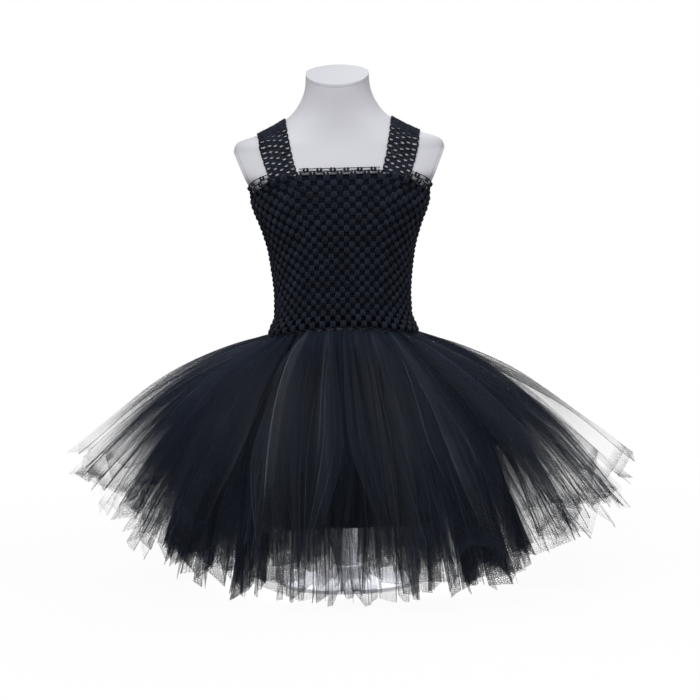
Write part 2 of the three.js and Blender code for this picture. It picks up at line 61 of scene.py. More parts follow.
def smooth(t: Any) -> Array:
    """Rises smoothly from 0 at t = 0 to 1 at t = 1."""
    clipped = np.clip(t, 0.0, 1.0)
    return clipped * clipped * (3 - 2 * clipped)


def blend(a: Any, b: Any, t: Any) -> Any:
    """The value a share t of the way from a to b."""
    return a + (b - a) * t


def signed_power(value: Any, power: Any) -> Array:
    """value's size to a power, with value's sign."""
    return np.sign(value) * np.abs(value) ** power


def unit(vectors: Array) -> Array:
    """The same vectors, each of length 1."""
    return vectors / np.maximum(np.linalg.norm(vectors, axis=-1, keepdims=True), 1e-12)


def surface_frame(place: Place, angle: Array, share: Array, step: float = 1e-3) -> tuple[Array, Array, Array]:
    """Points of a surface with their outward and upward directions.

    Args:
        place: gives the surface's points from an angle and a share of its height.
        angle: angles of the points.
        share: their shares of the height.
        step: how far aside the surface is felt for its slope.

    Returns:
        The points, the outward normals and the upward directions along the surface.
    """
    across = unit(place(angle + step, share) - place(angle - step, share))
    upward = unit(place(angle, share + step) - place(angle, share - step))
    outward = unit(np.cross(across, upward))
    return place(angle, share), outward, unit(np.cross(outward, across))


# ---------------------------------------------------------------- the dress form's shape

class Section(NamedTuple):
    """One level section of the form: its height, half width, depths and squareness."""

    z: float
    half_width: float
    front: float
    back: float
    power: float


FORM_SECTIONS = (
    Section(160, 86, 57, 69, 2.3),
    Section(168, 94, 64, 77, 2.3),
    Section(190, 98, 67, 81, 2.3),
    Section(251, 103, 72, 84, 2.3),
    Section(290, 100, 74, 79, 2.3),
    Section(320, 96, 75, 73, 2.3),
    Section(345, 91.5, 74.5, 69, 2.3),
    Section(370, 88, 73.5, 65, 2.3),
    Section(400, 87.5, 72, 64, 2.3),
    Section(456, 94.5, 73, 68, 2.3),
    Section(486, 103, 75.5, 73, 2.3),
    Section(506, 111, 76, 75, 2.3),
    Section(521, 115.5, 75, 77, 2.3),
    Section(534, 116.5, 73, 77, 2.3),
    Section(541, 121, 71, 77, 2.25),
    Section(548, 133, 69, 76, 2.2),
    Section(556, 144, 67, 75, 2.15),
    Section(566, 149, 62.6, 73, 2.1),
    Section(578, 147, 58.4, 70, 2.05),
    Section(590, 141.5, 54.4, 66, 2.05),
    Section(597, 139.5, 52.2, 63, 2.05),
    Section(603.5, 133, 50.4, 59, 2.0),
    Section(610, 112, 49.0, 57, 2.0),
    Section(620, 90, 47.4, 55, 2.0),
    Section(631, 71, 46.6, 53, 2.0),
    Section(640, 60.5, 46.4, 50, 2.0),
    Section(650, 53, 46.8, 46, 2.0),
    Section(663, 46.5, 48, 40, 2.0),
    Section(677, 43, 49, 36, 2.0),
    Section(712, 42, 50, 34, 2.0),
)


class FormShape:
    """The smooth surface that every garment piece is measured from."""

    feel: float = 0.5
    ring_points: int = 1441

    def __init__(self, rows: Sequence[Section]) -> None:
        """Keeps the sections as one array, a column for each size."""
        self.rows = np.array(rows, dtype=float)

    def sections(self, z: Any) -> Array:
        """Half width, front depth, back depth and power at each height, on smooth curves.

        Args:
            z: the heights.

        Returns:
            The four sizes in the last axis.
        """
        rows, z = self.rows, np.asarray(z, dtype=float)
        last = len(rows) - 2
        low = np.clip(np.searchsorted(rows[1:, 0], z, side="left"), 0, last)
        span = rows[low + 1, 0] - rows[low, 0]
        t = np.clip((z - rows[low, 0]) / span, 0, 1)[..., None]
        before, after = np.maximum(low - 1, 0), np.minimum(low + 2, last + 1)
        chord = (rows[low + 1, 1:] - rows[low, 1:]) / span[..., None]

        def slope(a: Array, b: Array) -> Array:
            """The rise from row a to row b, kept from overshooting the chord.

            Args:
                a: the lower rows' numbers.
                b: the upper rows' numbers.

            Returns:
                The slopes of the four sizes.
            """
            rise = (rows[b, 1:] - rows[a, 1:]) / (rows[b, 0] - rows[a, 0])[..., None]
            kept = np.minimum(np.abs(rise), 3 * np.abs(chord))
            return np.where(rise * chord > 0, np.sign(rise) * kept, 0)

        start, end = slope(before, low + 1), slope(low, after)
        width = span[..., None]
        return (
            (2 * t**3 - 3 * t**2 + 1) * rows[low, 1:] + (t**3 - 2 * t**2 + t) * width * start
            + (3 * t**2 - 2 * t**3) * rows[low + 1, 1:] + (t**3 - t**2) * width * end
        )

    @staticmethod
    def on_section(section: Array, angle: Any, out: Any, z: Any) -> Array:
        """Points on sections grown outwards.

        Args:
            section: half width, front, back and power in the last axis.
            angle: angles round the axis.
            out: how far outside the section each point lies.
            z: the points' heights.

        Returns:
            The points, with x, y and z in the last axis.
        """
        half_width, front, back, power = np.moveaxis(section, -1, 0)
        cosine = np.cos(angle)
        depth = np.where(cosine > 0, front, back) + out
        x = (half_width + out) * signed_power(np.sin(angle), 2 / power)
        y = -depth * signed_power(cosine, 2 / power)
        return np.stack(np.broadcast_arrays(x, y, np.asarray(z, dtype=float)), axis=-1)

    def point(self, angle: Any, out: Any, z: Any) -> Array:
        """Points at an angle and a height, a distance outside the form."""
        return self.on_section(self.sections(z), angle, out, z)

    def field(self, p: Array) -> Array:
        """Tells how far in or out some points lie.

        Args:
            p: the points.

        Returns:
            Values below 1 inside the form and 1 on its surface.
        """
        half_width, front, back, power = np.moveaxis(self.sections(p[..., 2]), -1, 0)
        depth = np.where(p[..., 1] < 0, front, back)
        return np.abs(p[..., 0] / half_width) ** power + np.abs(p[..., 1] / depth) ** power

    def normal(self, p: Array) -> Array:
        """Outward directions at points of the surface."""
        steps = self.feel * np.eye(3)
        return unit(np.stack([self.field(p + s) - self.field(p - s) for s in steps], axis=-1))

    def even_angle(self, z: float, share: Array) -> Array:
        """Angles at shares of a section's girth from the front, so that stitches keep one width.

        Args:
            z: the section's height.
            share: the shares of the girth.

        Returns:
            The angles.
        """
        angles = np.linspace(0, TAU, self.ring_points)
        ring = self.point(angles, 0.0, np.full_like(angles, z))
        girth = np.concatenate([[0], np.cumsum(np.linalg.norm(np.diff(ring, axis=0), axis=1))])
        return np.interp(np.mod(share, 1.0) * girth[-1], girth, angles)


FORM = FormShape(FORM_SECTIONS)


# ---------------------------------------------------------------- meshes

def grid_faces(rows: int, columns: int, wrapped: bool, first: int = 0) -> list[tuple[int, int, int, int]]:
    """Quads of a grid whose points run along its columns first.

    Args:
        rows: points along the height.
        columns: points across.
        wrapped: whether the last column meets the first.
        first: the number of the grid's first point.

    Returns:
        Four point numbers for each quad.
    """
    spans = columns if wrapped else columns - 1
    faces = []
    for j in range(rows - 1):
        for i in range(spans):
            a, b = first + j * columns + i, first + j * columns + (i + 1) % columns
            faces.append((a, b, b + columns, a + columns))
    return faces


def new_object(
    name: str, points: Array, faces: Sequence[Sequence[int]], edges: Sequence[Any] = (),
) -> bpy.types.Object:
    """A smooth mesh object at the origin.

    Args:
        name: the object's name.
        points: its points in millimetres.
        faces: point numbers of each face.
        edges: point numbers of loose edges.

    Returns:
        The object, linked to the scene.
    """
    mesh = bpy.data.meshes.new(name)
    mesh.from_pydata((points.reshape(-1, 3) * MM).tolist(), list(edges), list(faces))
    mesh.shade_smooth()
    made = bpy.data.objects.new(name, mesh)
    bpy.context.scene.collection.objects.link(made)
    return made


def write_attribute(obj: bpy.types.Object, name: str, values: Array) -> None:
    """Stores a number or a vector for each point of a mesh.

    Args:
        obj: the mesh object.
        name: the attribute's name.
        values: a number or a row of three for each point.
    """
    kind, key = ("FLOAT_VECTOR", "vector") if values.ndim == 2 else ("FLOAT", "value")
    attribute = obj.data.attributes.new(name, kind, "POINT")
    attribute.data.foreach_set(key, np.ascontiguousarray(values, dtype=np.float32).ravel())


def write_uv(obj: bpy.types.Object, uv: Array) -> None:
    """Stores the UV map named Cloth.

    Args:
        obj: the mesh object.
        uv: a pair for each point, in metres on the flat cloth.
    """
    corners = np.empty(len(obj.data.loops), dtype=np.int32)
    obj.data.loops.foreach_get("vertex_index", corners)
    layer = obj.data.uv_layers.new(name="Cloth")
    layer.data.foreach_set("uv", np.ascontiguousarray(uv[corners], dtype=np.float32).ravel())


def turn_faces_out(obj: bpy.types.Object) -> bpy.types.Object:
    """Turns a closed mesh's faces outwards.

    Args:
        obj: the mesh object.

    Returns:
        The same object.
    """
    mesh = bmesh.new()
    mesh.from_mesh(obj.data)
    bmesh.ops.recalc_face_normals(mesh, faces=mesh.faces)
    mesh.to_mesh(obj.data)
    mesh.free()
    return obj


def modified_mesh(obj: bpy.types.Object) -> bpy.types.Mesh:
    """The plain mesh that an object's modifiers make of it."""
    bpy.context.view_layer.update()
    return bpy.data.meshes.new_from_object(obj.evaluated_get(bpy.context.evaluated_depsgraph_get()))


def dress(
    obj: bpy.types.Object, material: bpy.types.Material, nodes: Sequence[str] = (),
) -> bpy.types.Object:
    """Gives a piece its finish, its body and the solids that it stands for.

    Args:
        obj: the piece.
        material: its finish.
        nodes: names of the solids that it replaces.

    Returns:
        The piece.
    """
    obj.data.materials.clear()
    obj.data.materials.append(material)
    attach(obj, BODY)
    if nodes:
        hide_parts(*nodes)
    log.info("%s: %d faces", obj.name, len(obj.data.polygons))
    return obj


# ---------------------------------------------------------------- nodes

def add_node(
    tree: bpy.types.NodeTree, kind: str, label: str, inputs: dict[Any, Any] | None = None, **settings: Any,
) -> Any:
    """Adds a node with its settings and links.

    Args:
        tree: the node tree.
        kind: the node's type name.
        label: what it is for.
        inputs: a value or another node's output socket for each input's name or number.
        settings: the node's own properties.

    Returns:
        The node.
    """
    made = tree.nodes.new(kind)
    made.label = label
    for key, value in settings.items():
        setattr(made, key, value)
    for key, value in (inputs or {}).items():
        if isinstance(value, bpy.types.NodeSocket):
            tree.links.new(value, made.inputs[key])
        else:
            made.inputs[key].default_value = value
    return made


def linear(colour: str) -> tuple[float, float, float, float]:
    """A hex sRGB colour as linear values with an alpha of 1."""
    shares = [int(colour[i:i + 2], 16) / 255 for i in (0, 2, 4)]
    return (*(s / 12.92 if s <= 0.04045 else ((s + 0.055) / 1.055) ** 2.4 for s in shares), 1.0)


def new_material(name: str) -> tuple[bpy.types.Material, Any, Any]:
    """A material with only a Principled shader.

    Args:
        name: the finish's name.

    Returns:
        The material, its node tree and its shader.
    """
    material = bpy.data.materials.new(name)
    material.use_nodes = True
    tree = material.node_tree
    shader = next(n for n in tree.nodes if n.type == "BSDF_PRINCIPLED")
    return material, tree, shader


# ---------------------------------------------------------------- finishes

@dataclass(frozen=True)
class YarnFinish:
    """Matt polyester crochet yarn, soft spun: blue-black, furry enough to glow a little at its edges."""

    name: str = "Crochet yarn, spun polyester"
    # The dark colour is painted shade between the fibres plus darker dye; the pale one is a painted highlight
    # on the raised fibres plus paler dye.
    groove_shade_and_dark_dye: str = "070a12"
    fibre_highlight_and_pale_dye: str = "212839"
    fibre_mm: float = 0.45
    patch_mm: float = 14.0

    def material(self) -> bpy.types.Material:
        """Builds the node material.

        Returns:
            The material.
        """
        material, tree, shader = new_material(self.name)
        where = add_node(tree, "ShaderNodeTexCoord", "place on the dress").outputs["Object"]
        # Twisted fibres are about a quarter of a millimetre thick. They are drawn twice as coarse to show.
        fibre = add_node(tree, "ShaderNodeTexNoise", "twisted fibres", {
            "Vector": where, "Scale": 1 / (self.fibre_mm * MM), "Detail": 3.0, "Roughness": 0.65,
        })
        patch = add_node(tree, "ShaderNodeTexNoise", "uneven dye", {
            "Vector": where, "Scale": 1 / (self.patch_mm * MM), "Detail": 2.0,
        })
        # The fibres' bump also sets the colour: pale where they stand up and dark between them. This is a
        # painted highlight and painted shade, mixed with uneven dye.
        mixed = add_node(tree, "ShaderNodeMath", "fibre and dye together", {
            0: fibre.outputs["Fac"], 1: patch.outputs["Fac"],
        }, operation="MULTIPLY")
        colour = add_node(tree, "ShaderNodeMapRange", "how much yarn colour", {
            "Value": mixed.outputs[0], "From Min": 0.12, "From Max": 0.42,
        })
        ramp = add_node(tree, "ShaderNodeMix", "yarn colour", {
            0: colour.outputs["Result"], 6: linear(self.groove_shade_and_dark_dye), 7: linear(self.fibre_highlight_and_pale_dye),
        }, data_type="RGBA")
        bump = add_node(tree, "ShaderNodeBump", "fibres stand up", {
            "Height": fibre.outputs["Fac"], "Strength": 0.55, "Distance": 0.35 * MM,
        })
        tree.links.new(ramp.outputs[2], shader.inputs["Base Color"])
        tree.links.new(bump.outputs["Normal"], shader.inputs["Normal"])
        shader.inputs["Roughness"].default_value = 0.82
        shader.inputs["Specular IOR Level"].default_value = 0.22
        shader.inputs["Sheen Weight"].default_value = 0.10
        shader.inputs["Sheen Roughness"].default_value = 0.5
        shader.inputs["Sheen Tint"].default_value = linear("8d93a8")
        return material


@dataclass(frozen=True)
class ClothFinish:
    """Plain black lining cloth, with its thread lines and a soft or a satin gloss."""

    name: str
    colour: str
    # light is the paler colour painted on the weave's raised threads, a painted highlight.
    light: str
    thread_mm: float
    roughness: float
    sheen: float
    specular: float

    def material(self) -> bpy.types.Material:
        """Builds the node material.

        Returns:
            The material.
        """
        material, tree, shader = new_material(self.name)
        cloth = add_node(tree, "ShaderNodeUVMap", "flat cloth", uv_map="Cloth").outputs["UV"]
        threads = []
        for label, direction in (("warp", "X"), ("weft", "Y")):
            # Real threads are about a fifth of a millimetre. They are drawn coarser so that the weave shows.
            threads.append(add_node(tree, "ShaderNodeTexWave", label, {
                "Vector": cloth, "Scale": 1 / (self.thread_mm * MM) / 3.2, "Distortion": 0.8, "Detail": 1.0,
            }, bands_direction=direction).outputs["Fac"])
        weave = add_node(tree, "ShaderNodeMath", "weave", {
            0: threads[0], 1: threads[1],
        }, operation="MULTIPLY")
        slub = add_node(tree, "ShaderNodeTexNoise", "uneven cloth", {
            "Vector": cloth, "Scale": 60.0, "Detail": 3.0,
        })
        # Where the weave's bump stands up, the cloth is painted in the paler colour: a painted highlight on
        # the threads, varied by uneven cloth.
        share = add_node(tree, "ShaderNodeMath", "light threads", {
            0: weave.outputs[0], 1: slub.outputs["Fac"],
        }, operation="MULTIPLY")
        colour = add_node(tree, "ShaderNodeMix", "cloth colour", {
            0: share.outputs[0], 6: linear(self.colour), 7: linear(self.light),
        }, data_type="RGBA")
        bump = add_node(tree, "ShaderNodeBump", "threads stand up", {
            "Height": weave.outputs[0], "Strength": 0.3, "Distance": 0.15 * MM,
        })
        tree.links.new(colour.outputs[2], shader.inputs["Base Color"])
        tree.links.new(bump.outputs["Normal"], shader.inputs["Normal"])
        shader.inputs["Roughness"].default_value = self.roughness
        shader.inputs["Specular IOR Level"].default_value = self.specular
        shader.inputs["Sheen Weight"].default_value = self.sheen
        shader.inputs["Sheen Roughness"].default_value = 0.4
        return material


@dataclass(frozen=True)
class NetFinish:
    """Soft nylon tulle: a fine see-through net, denser where it is gathered and dark along its folds."""

    name: str = "Tulle, soft nylon net"
    colour: str = "121b2b"
    # fold is the pale colour of the painted highlight on folds that seem to catch the light.
    fold: str = "71757f"
    mesh_mm: float = 2.7
    speckle: float = 0.5
    unevenness: float = 2.6
    streak: float = 0.16
    streak_scale: tuple[float, float, float] = (240.0, 8.0, 1.0)
    fold_shading: float = 0.30

    def material(self) -> bpy.types.Material:
        """Builds the node material.

        Returns:
            The material.
        """
        material, tree, shader = new_material(self.name)
        cloth = add_node(tree, "ShaderNodeUVMap", "flat cloth", uv_map="Cloth").outputs["UV"]
        # Each layer's mesh says how much net lies here, how strong the painted highlight on its fold is and
        # which way the skirt faces.
        cover, shine, form = (
            add_node(tree, "ShaderNodeAttribute", name, attribute_name=name).outputs[output]
            for name, output in (("cover", "Fac"), ("shine", "Fac"), ("form", "Vector"))
        )
        # The net's real holes are 1.2 mm. They are drawn about twice as coarse, so that they show.
        holes = add_node(tree, "ShaderNodeTexVoronoi", "net holes", {
            "Vector": cloth, "Scale": 1 / (self.mesh_mm * MM), "Randomness": 0.85,
        }, feature="DISTANCE_TO_EDGE", voronoi_dimensions="2D")
        thread = add_node(tree, "ShaderNodeMapRange", "net threads", {
            "Value": holes.outputs["Distance"], "From Min": 0.05, "From Max": 0.32,
            "To Min": self.speckle, "To Max": -self.speckle,
        })
        streak_place = add_node(tree, "ShaderNodeMapping", "streaks run down the cloth", {
            "Vector": cloth, "Scale": self.streak_scale,
        })
        streak = add_node(tree, "ShaderNodeTexNoise", "crumpled streaks", {
            "Vector": streak_place.outputs["Vector"], "Scale": 1.0, "Detail": 2.0,
        })
        crumple = add_node(tree, "ShaderNodeMapRange", "streak cover", {
            "Value": streak.outputs["Fac"], "From Min": 0.3, "From Max": 0.72,
            "To Min": -self.streak, "To Max": self.streak,
        })
        uneven = add_node(tree, "ShaderNodeMath", "uneven net", {
            0: thread.outputs["Result"], 1: crumple.outputs["Result"],
        }, operation="ADD")
        clear = add_node(tree, "ShaderNodeMath", "what is left clear", {
            0: 1.0, 1: cover,
        }, operation="SUBTRACT")
        room = add_node(tree, "ShaderNodeMath", "room to be uneven", {
            0: clear.outputs[0], 1: cover,
        }, operation="MULTIPLY")
        change = add_node(tree, "ShaderNodeMath", "change of cover", {
            0: room.outputs[0], 1: self.unevenness,
        }, operation="MULTIPLY")
        total = add_node(tree, "ShaderNodeMath", "uneven cover", {
            0: change.outputs[0], 1: uneven.outputs[0], 2: cover,
        }, operation="MULTIPLY_ADD", use_clamp=True)
        # The net is tinted towards the fold colour where the shine attribute paints a highlight on its folds.
        colour = add_node(tree, "ShaderNodeMix", "net colour", {
            0: shine, 6: linear(self.colour), 7: linear(self.fold),
        }, data_type="RGBA")
        # Net scatters light through itself, so the skirt's form shades it more than each fold does.
        own = add_node(tree, "ShaderNodeNewGeometry", "way that the fold faces").outputs["Normal"]
        facing = add_node(tree, "ShaderNodeMix", "soft shading", {
            0: self.fold_shading, 4: form, 5: own,
        }, data_type="VECTOR")
        tree.links.new(facing.outputs[1], shader.inputs["Normal"])
        tree.links.new(colour.outputs[2], shader.inputs["Base Color"])
        tree.links.new(total.outputs[0], shader.inputs["Alpha"])
        shader.inputs["Roughness"].default_value = 0.62
        shader.inputs["Specular IOR Level"].default_value = 0.2
        shader.inputs["Sheen Weight"].default_value = 0.13
        shader.inputs["Sheen Roughness"].default_value = 0.35
        shader.inputs["Sheen Tint"].default_value = linear("aab0c6")
        return material


@dataclass(frozen=True)
class HardFinish:
    """A smooth hard finish: a moulded shell or a powder coat, with fine grain and faint unevenness."""

    name: str
    colour: str
    worn: str
    roughness: float
    coat: float
    grain_mm: float
    grain: float

    def material(self) -> bpy.types.Material:
        """Builds the node material.

        Returns:
            The material.
        """
        material, tree, shader = new_material(self.name)
        where = add_node(tree, "ShaderNodeTexCoord", "place on the form").outputs["Object"]
        cloud = add_node(tree, "ShaderNodeTexNoise", "faint unevenness", {
            "Vector": where, "Scale": 14.0, "Detail": 4.0,
        })
        grain = add_node(tree, "ShaderNodeTexNoise", "surface grain", {
            "Vector": where, "Scale": 1 / (self.grain_mm * MM), "Detail": 2.0,
        })
        colour = add_node(tree, "ShaderNodeMix", "shell colour", {
            0: cloud.outputs["Fac"], 6: linear(self.colour), 7: linear(self.worn),
        }, data_type="RGBA")
        gloss = add_node(tree, "ShaderNodeMapRange", "gloss", {
            "Value": cloud.outputs["Fac"], "To Min": self.roughness - 0.06, "To Max": self.roughness + 0.08,
        })
        bump = add_node(tree, "ShaderNodeBump", "grain stands up", {
            "Height": grain.outputs["Fac"], "Strength": self.grain, "Distance": 0.1 * MM,
        })
        tree.links.new(colour.outputs[2], shader.inputs["Base Color"])
        tree.links.new(gloss.outputs["Result"], shader.inputs["Roughness"])
        tree.links.new(bump.outputs["Normal"], shader.inputs["Normal"])
        shader.inputs["Coat Weight"].default_value = self.coat
        shader.inputs["Coat Roughness"].default_value = 0.25
        return material


# ---------------------------------------------------------------- geometry node trees

class Tree(Enum):
    """The two node trees that repeat stitches and lay yarn."""

    STITCHES = "Stitches on points"
    YARN = "Twisted yarn along paths"


def open_tree(kind: Tree, sockets: Sequence[tuple[str, str]]) -> tuple[Any, Any, Any]:
    """A new geometry tree with named inputs.

    Args:
        kind: which tree it is.
        sockets: name and socket type of each input.

    Returns:
        The tree, its input node and its output node.
    """
    tree = bpy.data.node_groups.new(kind.value, "GeometryNodeTree")
    for name, socket in sockets:
        tree.interface.new_socket(name, in_out="INPUT", socket_type=socket)
    tree.interface.new_socket("Result", in_out="OUTPUT", socket_type="NodeSocketGeometry")
    return tree, add_node(tree, "NodeGroupInput", "sizes"), add_node(tree, "NodeGroupOutput", "result")


def stitches_tree() -> Any:
    """A stitch on every point, turned by the point's facing and upward vectors and a small random tilt.

    Returns:
        The node tree.
    """
    tree, given, result = open_tree(Tree.STITCHES, (
        ("Points", "NodeSocketGeometry"), ("Stitch", "NodeSocketObject"), ("Tilt", "NodeSocketFloat"),
        ("Size change", "NodeSocketFloat"), ("Seed", "NodeSocketInt"), ("Finish", "NodeSocketMaterial"),
    ))
    named = {
        name: add_node(tree, "GeometryNodeInputNamedAttribute", name, {
            "Name": name,
        }, data_type="FLOAT_VECTOR")
        for name in ("facing", "upward", "size")
    }
    turn = add_node(tree, "FunctionNodeAxesToRotation", "stand on the cloth", {
        "Primary Axis": named["facing"].outputs["Attribute"],
        "Secondary Axis": named["upward"].outputs["Attribute"],
    }, primary_axis="Z", secondary_axis="Y")
    low = add_node(tree, "ShaderNodeMath", "tilt back", {
        0: given.outputs["Tilt"], 1: -1.0,
    }, operation="MULTIPLY")
    limits = [
        add_node(tree, "ShaderNodeCombineXYZ", label, {0: value, 1: value, 2: value}).outputs[0]
        for label, value in (("least tilt", low.outputs[0]), ("most tilt", given.outputs["Tilt"]))
    ]
    tilt = add_node(tree, "FunctionNodeRandomValue", "uneven hand", {
        "Min": limits[0], "Max": limits[1], "Seed": given.outputs["Seed"],
    }, data_type="FLOAT_VECTOR")
    tilted = add_node(tree, "FunctionNodeRotateRotation", "tilt the stitch", {
        "Rotation": turn.outputs["Rotation"],
        "Rotate By": add_node(tree, "FunctionNodeEulerToRotation", "tilt", {0: tilt.outputs[0]}).outputs[0],
    }, rotation_space="LOCAL")
    least, most = (
        add_node(tree, "ShaderNodeMath", label, {0: 1.0, 1: given.outputs["Size change"]}, operation=way)
        for label, way in (("least size", "SUBTRACT"), ("most size", "ADD"))
    )
    change = add_node(tree, "FunctionNodeRandomValue", "uneven size", {
        2: least.outputs[0], 3: most.outputs[0], "Seed": given.outputs["Seed"],
    }, data_type="FLOAT")
    scale = add_node(tree, "ShaderNodeVectorMath", "stitch size", {
        0: named["size"].outputs["Attribute"], "Scale": change.outputs[1],
    }, operation="SCALE")
    stitch = add_node(tree, "GeometryNodeObjectInfo", "one stitch", {"Object": given.outputs["Stitch"]})
    placed = add_node(tree, "GeometryNodeInstanceOnPoints", "stitch on each point", {
        "Points": given.outputs["Points"], "Instance": stitch.outputs["Geometry"],
        "Rotation": tilted.outputs["Rotation"], "Scale": scale.outputs[0],
    })
    real = add_node(tree, "GeometryNodeRealizeInstances", "real stitches", {"Geometry": placed.outputs[0]})
    finish = add_node(tree, "GeometryNodeSetMaterial", "yarn finish", {
        "Geometry": real.outputs[0], "Material": given.outputs["Finish"],
    })
    tree.links.new(finish.outputs[0], result.inputs[0])
    return tree


def yarn_tree() -> Any:
    """Two-ply yarn laid along every path of a mesh of edges.

    Returns:
        The node tree.
    """
    tree, given, result = open_tree(Tree.YARN, (
        ("Paths", "NodeSocketGeometry"), ("Ply radius", "NodeSocketFloat"),
        ("Twist pitch", "NodeSocketFloat"), ("Step", "NodeSocketFloat"),
        ("Sides", "NodeSocketInt"), ("Finish", "NodeSocketMaterial"),
    ))
    curve = add_node(tree, "GeometryNodeMeshToCurve", "paths", {"Mesh": given.outputs["Paths"]})
    even = add_node(tree, "GeometryNodeResampleCurve", "even steps", {
        "Curve": curve.outputs[0], "Length": given.outputs["Step"],
    }, mode="LENGTH")
    length = add_node(tree, "GeometryNodeSplineParameter", "length along the yarn").outputs["Length"]
    turns = add_node(tree, "ShaderNodeMath", "turns", {
        0: length, 1: given.outputs["Twist pitch"],
    }, operation="DIVIDE")
    angle = add_node(tree, "ShaderNodeMath", "twist angle", {
        0: turns.outputs[0], 1: TAU,
    }, operation="MULTIPLY")
    normal = add_node(tree, "GeometryNodeInputNormal", "side of the yarn").outputs[0]
    tangent = add_node(tree, "GeometryNodeInputTangent", "way of the yarn").outputs[0]
    other = add_node(tree, "ShaderNodeVectorMath", "other side", {
        0: tangent, 1: normal,
    }, operation="CROSS_PRODUCT")
    profile = add_node(tree, "GeometryNodeCurvePrimitiveCircle", "ply section", {
        "Resolution": given.outputs["Sides"], "Radius": given.outputs["Ply radius"],
    })
    plies = []
    for label, phase in (("first ply", 0.0), ("second ply", math.pi)):
        place = add_node(tree, "ShaderNodeMath", label, {
            0: angle.outputs[0], 1: phase,
        }, operation="ADD").outputs[0]
        parts = []
        for wave, way in (("COSINE", normal), ("SINE", other.outputs[0])):
            size = add_node(tree, "ShaderNodeMath", "round the yarn", {0: place}, operation=wave)
            reach = add_node(tree, "ShaderNodeMath", "ply radius", {
                0: size.outputs[0], 1: given.outputs["Ply radius"],
            }, operation="MULTIPLY")
            parts.append(add_node(tree, "ShaderNodeVectorMath", "step aside", {
                0: way, "Scale": reach.outputs[0],
            }, operation="SCALE").outputs[0])
        aside = add_node(tree, "ShaderNodeVectorMath", "off the middle", {
            0: parts[0], 1: parts[1],
        }, operation="ADD")
        moved = add_node(tree, "GeometryNodeSetPosition", "twist the ply", {
            "Geometry": even.outputs[0], "Offset": aside.outputs[0],
        })
        plies.append(add_node(tree, "GeometryNodeCurveToMesh", "spin the ply", {
            "Curve": moved.outputs[0], "Profile Curve": profile.outputs[0], "Fill Caps": True,
        }).outputs[0])
    both = add_node(tree, "GeometryNodeJoinGeometry", "both plies", {0: plies[0]})
    tree.links.new(plies[1], both.inputs[0])
    soft = add_node(tree, "GeometryNodeSetShadeSmooth", "round plies", {"Geometry": both.outputs[0]})
    real = add_node(tree, "GeometryNodeRealizeInstances", "real yarn", {"Geometry": soft.outputs[0]})
    finish = add_node(tree, "GeometryNodeSetMaterial", "yarn finish", {
        "Geometry": real.outputs[0], "Material": given.outputs["Finish"],
    })
    tree.links.new(finish.outputs[0], result.inputs[0])
    return tree


class Workshop:
    """Makes the trees and finishes once and hands them out."""

    def __init__(self) -> None:
        """Builds every tree and finish."""
        self.trees = {Tree.STITCHES: stitches_tree(), Tree.YARN: yarn_tree()}
        self.yarn = YarnFinish().material()
        self.net = NetFinish().material()
        # Each cloth's second colour is its painted highlight on the raised threads.
        self.knit = ClothFinish(
            "Lining, black stretch knit", "0a0e18", "171d2c",
            thread_mm=0.8, roughness=0.9, sheen=0.0, specular=0.08,
        ).material()
        self.satin = ClothFinish(
            "Lining, black satin", "0a0e16", "1a212f",
            thread_mm=0.6, roughness=0.42, sheen=0.2, specular=0.4,
        ).material()
        self.shell = HardFinish(
            "Form, moulded satin shell", "c9c9d0", "d1d1d8",
            roughness=0.55, coat=0.0, grain_mm=2.2, grain=0.12,
        ).material()
        self.plate = HardFinish(
            "Plates, moulded satin shell", "c6c7ce", "cecfd5",
            roughness=0.55, coat=0.0, grain_mm=1.6, grain=0.12,
        ).material()
        self.paint = HardFinish(
            "Stand, white powder coat", "dfe0e6", "e6e7ec",
            roughness=0.5, coat=0.05, grain_mm=0.9, grain=0.3,
        ).material()

    def run(
        self, name: str, carrier: bpy.types.Object, kind: Tree, values: dict[str, Any],
    ) -> bpy.types.Object:
        """Runs a node tree on a carrier mesh and keeps the plain result.

        Args:
            name: the new piece's name.
            carrier: the mesh of points or edges, which is used up.
            kind: which tree.
            values: a value for each named input.

        Returns:
            The new mesh object, at the origin.
        """
        tree = self.trees[kind]
        modifier = carrier.modifiers.new("Make", "NODES")
        modifier.node_group = tree
        names = {s.name: s.identifier for s in tree.interface.items_tree if s.in_out == "INPUT"}
        for key, value in values.items():
            modifier[names[key]] = value
        mesh = modified_mesh(carrier)
        carrier.modifiers.remove(modifier)
        bpy.data.objects.remove(carrier)
        mesh.name = name
        made = bpy.data.objects.new(name, mesh)
        bpy.context.scene.collection.objects.link(made)
        return made


# ---------------------------------------------------------------- the dress form

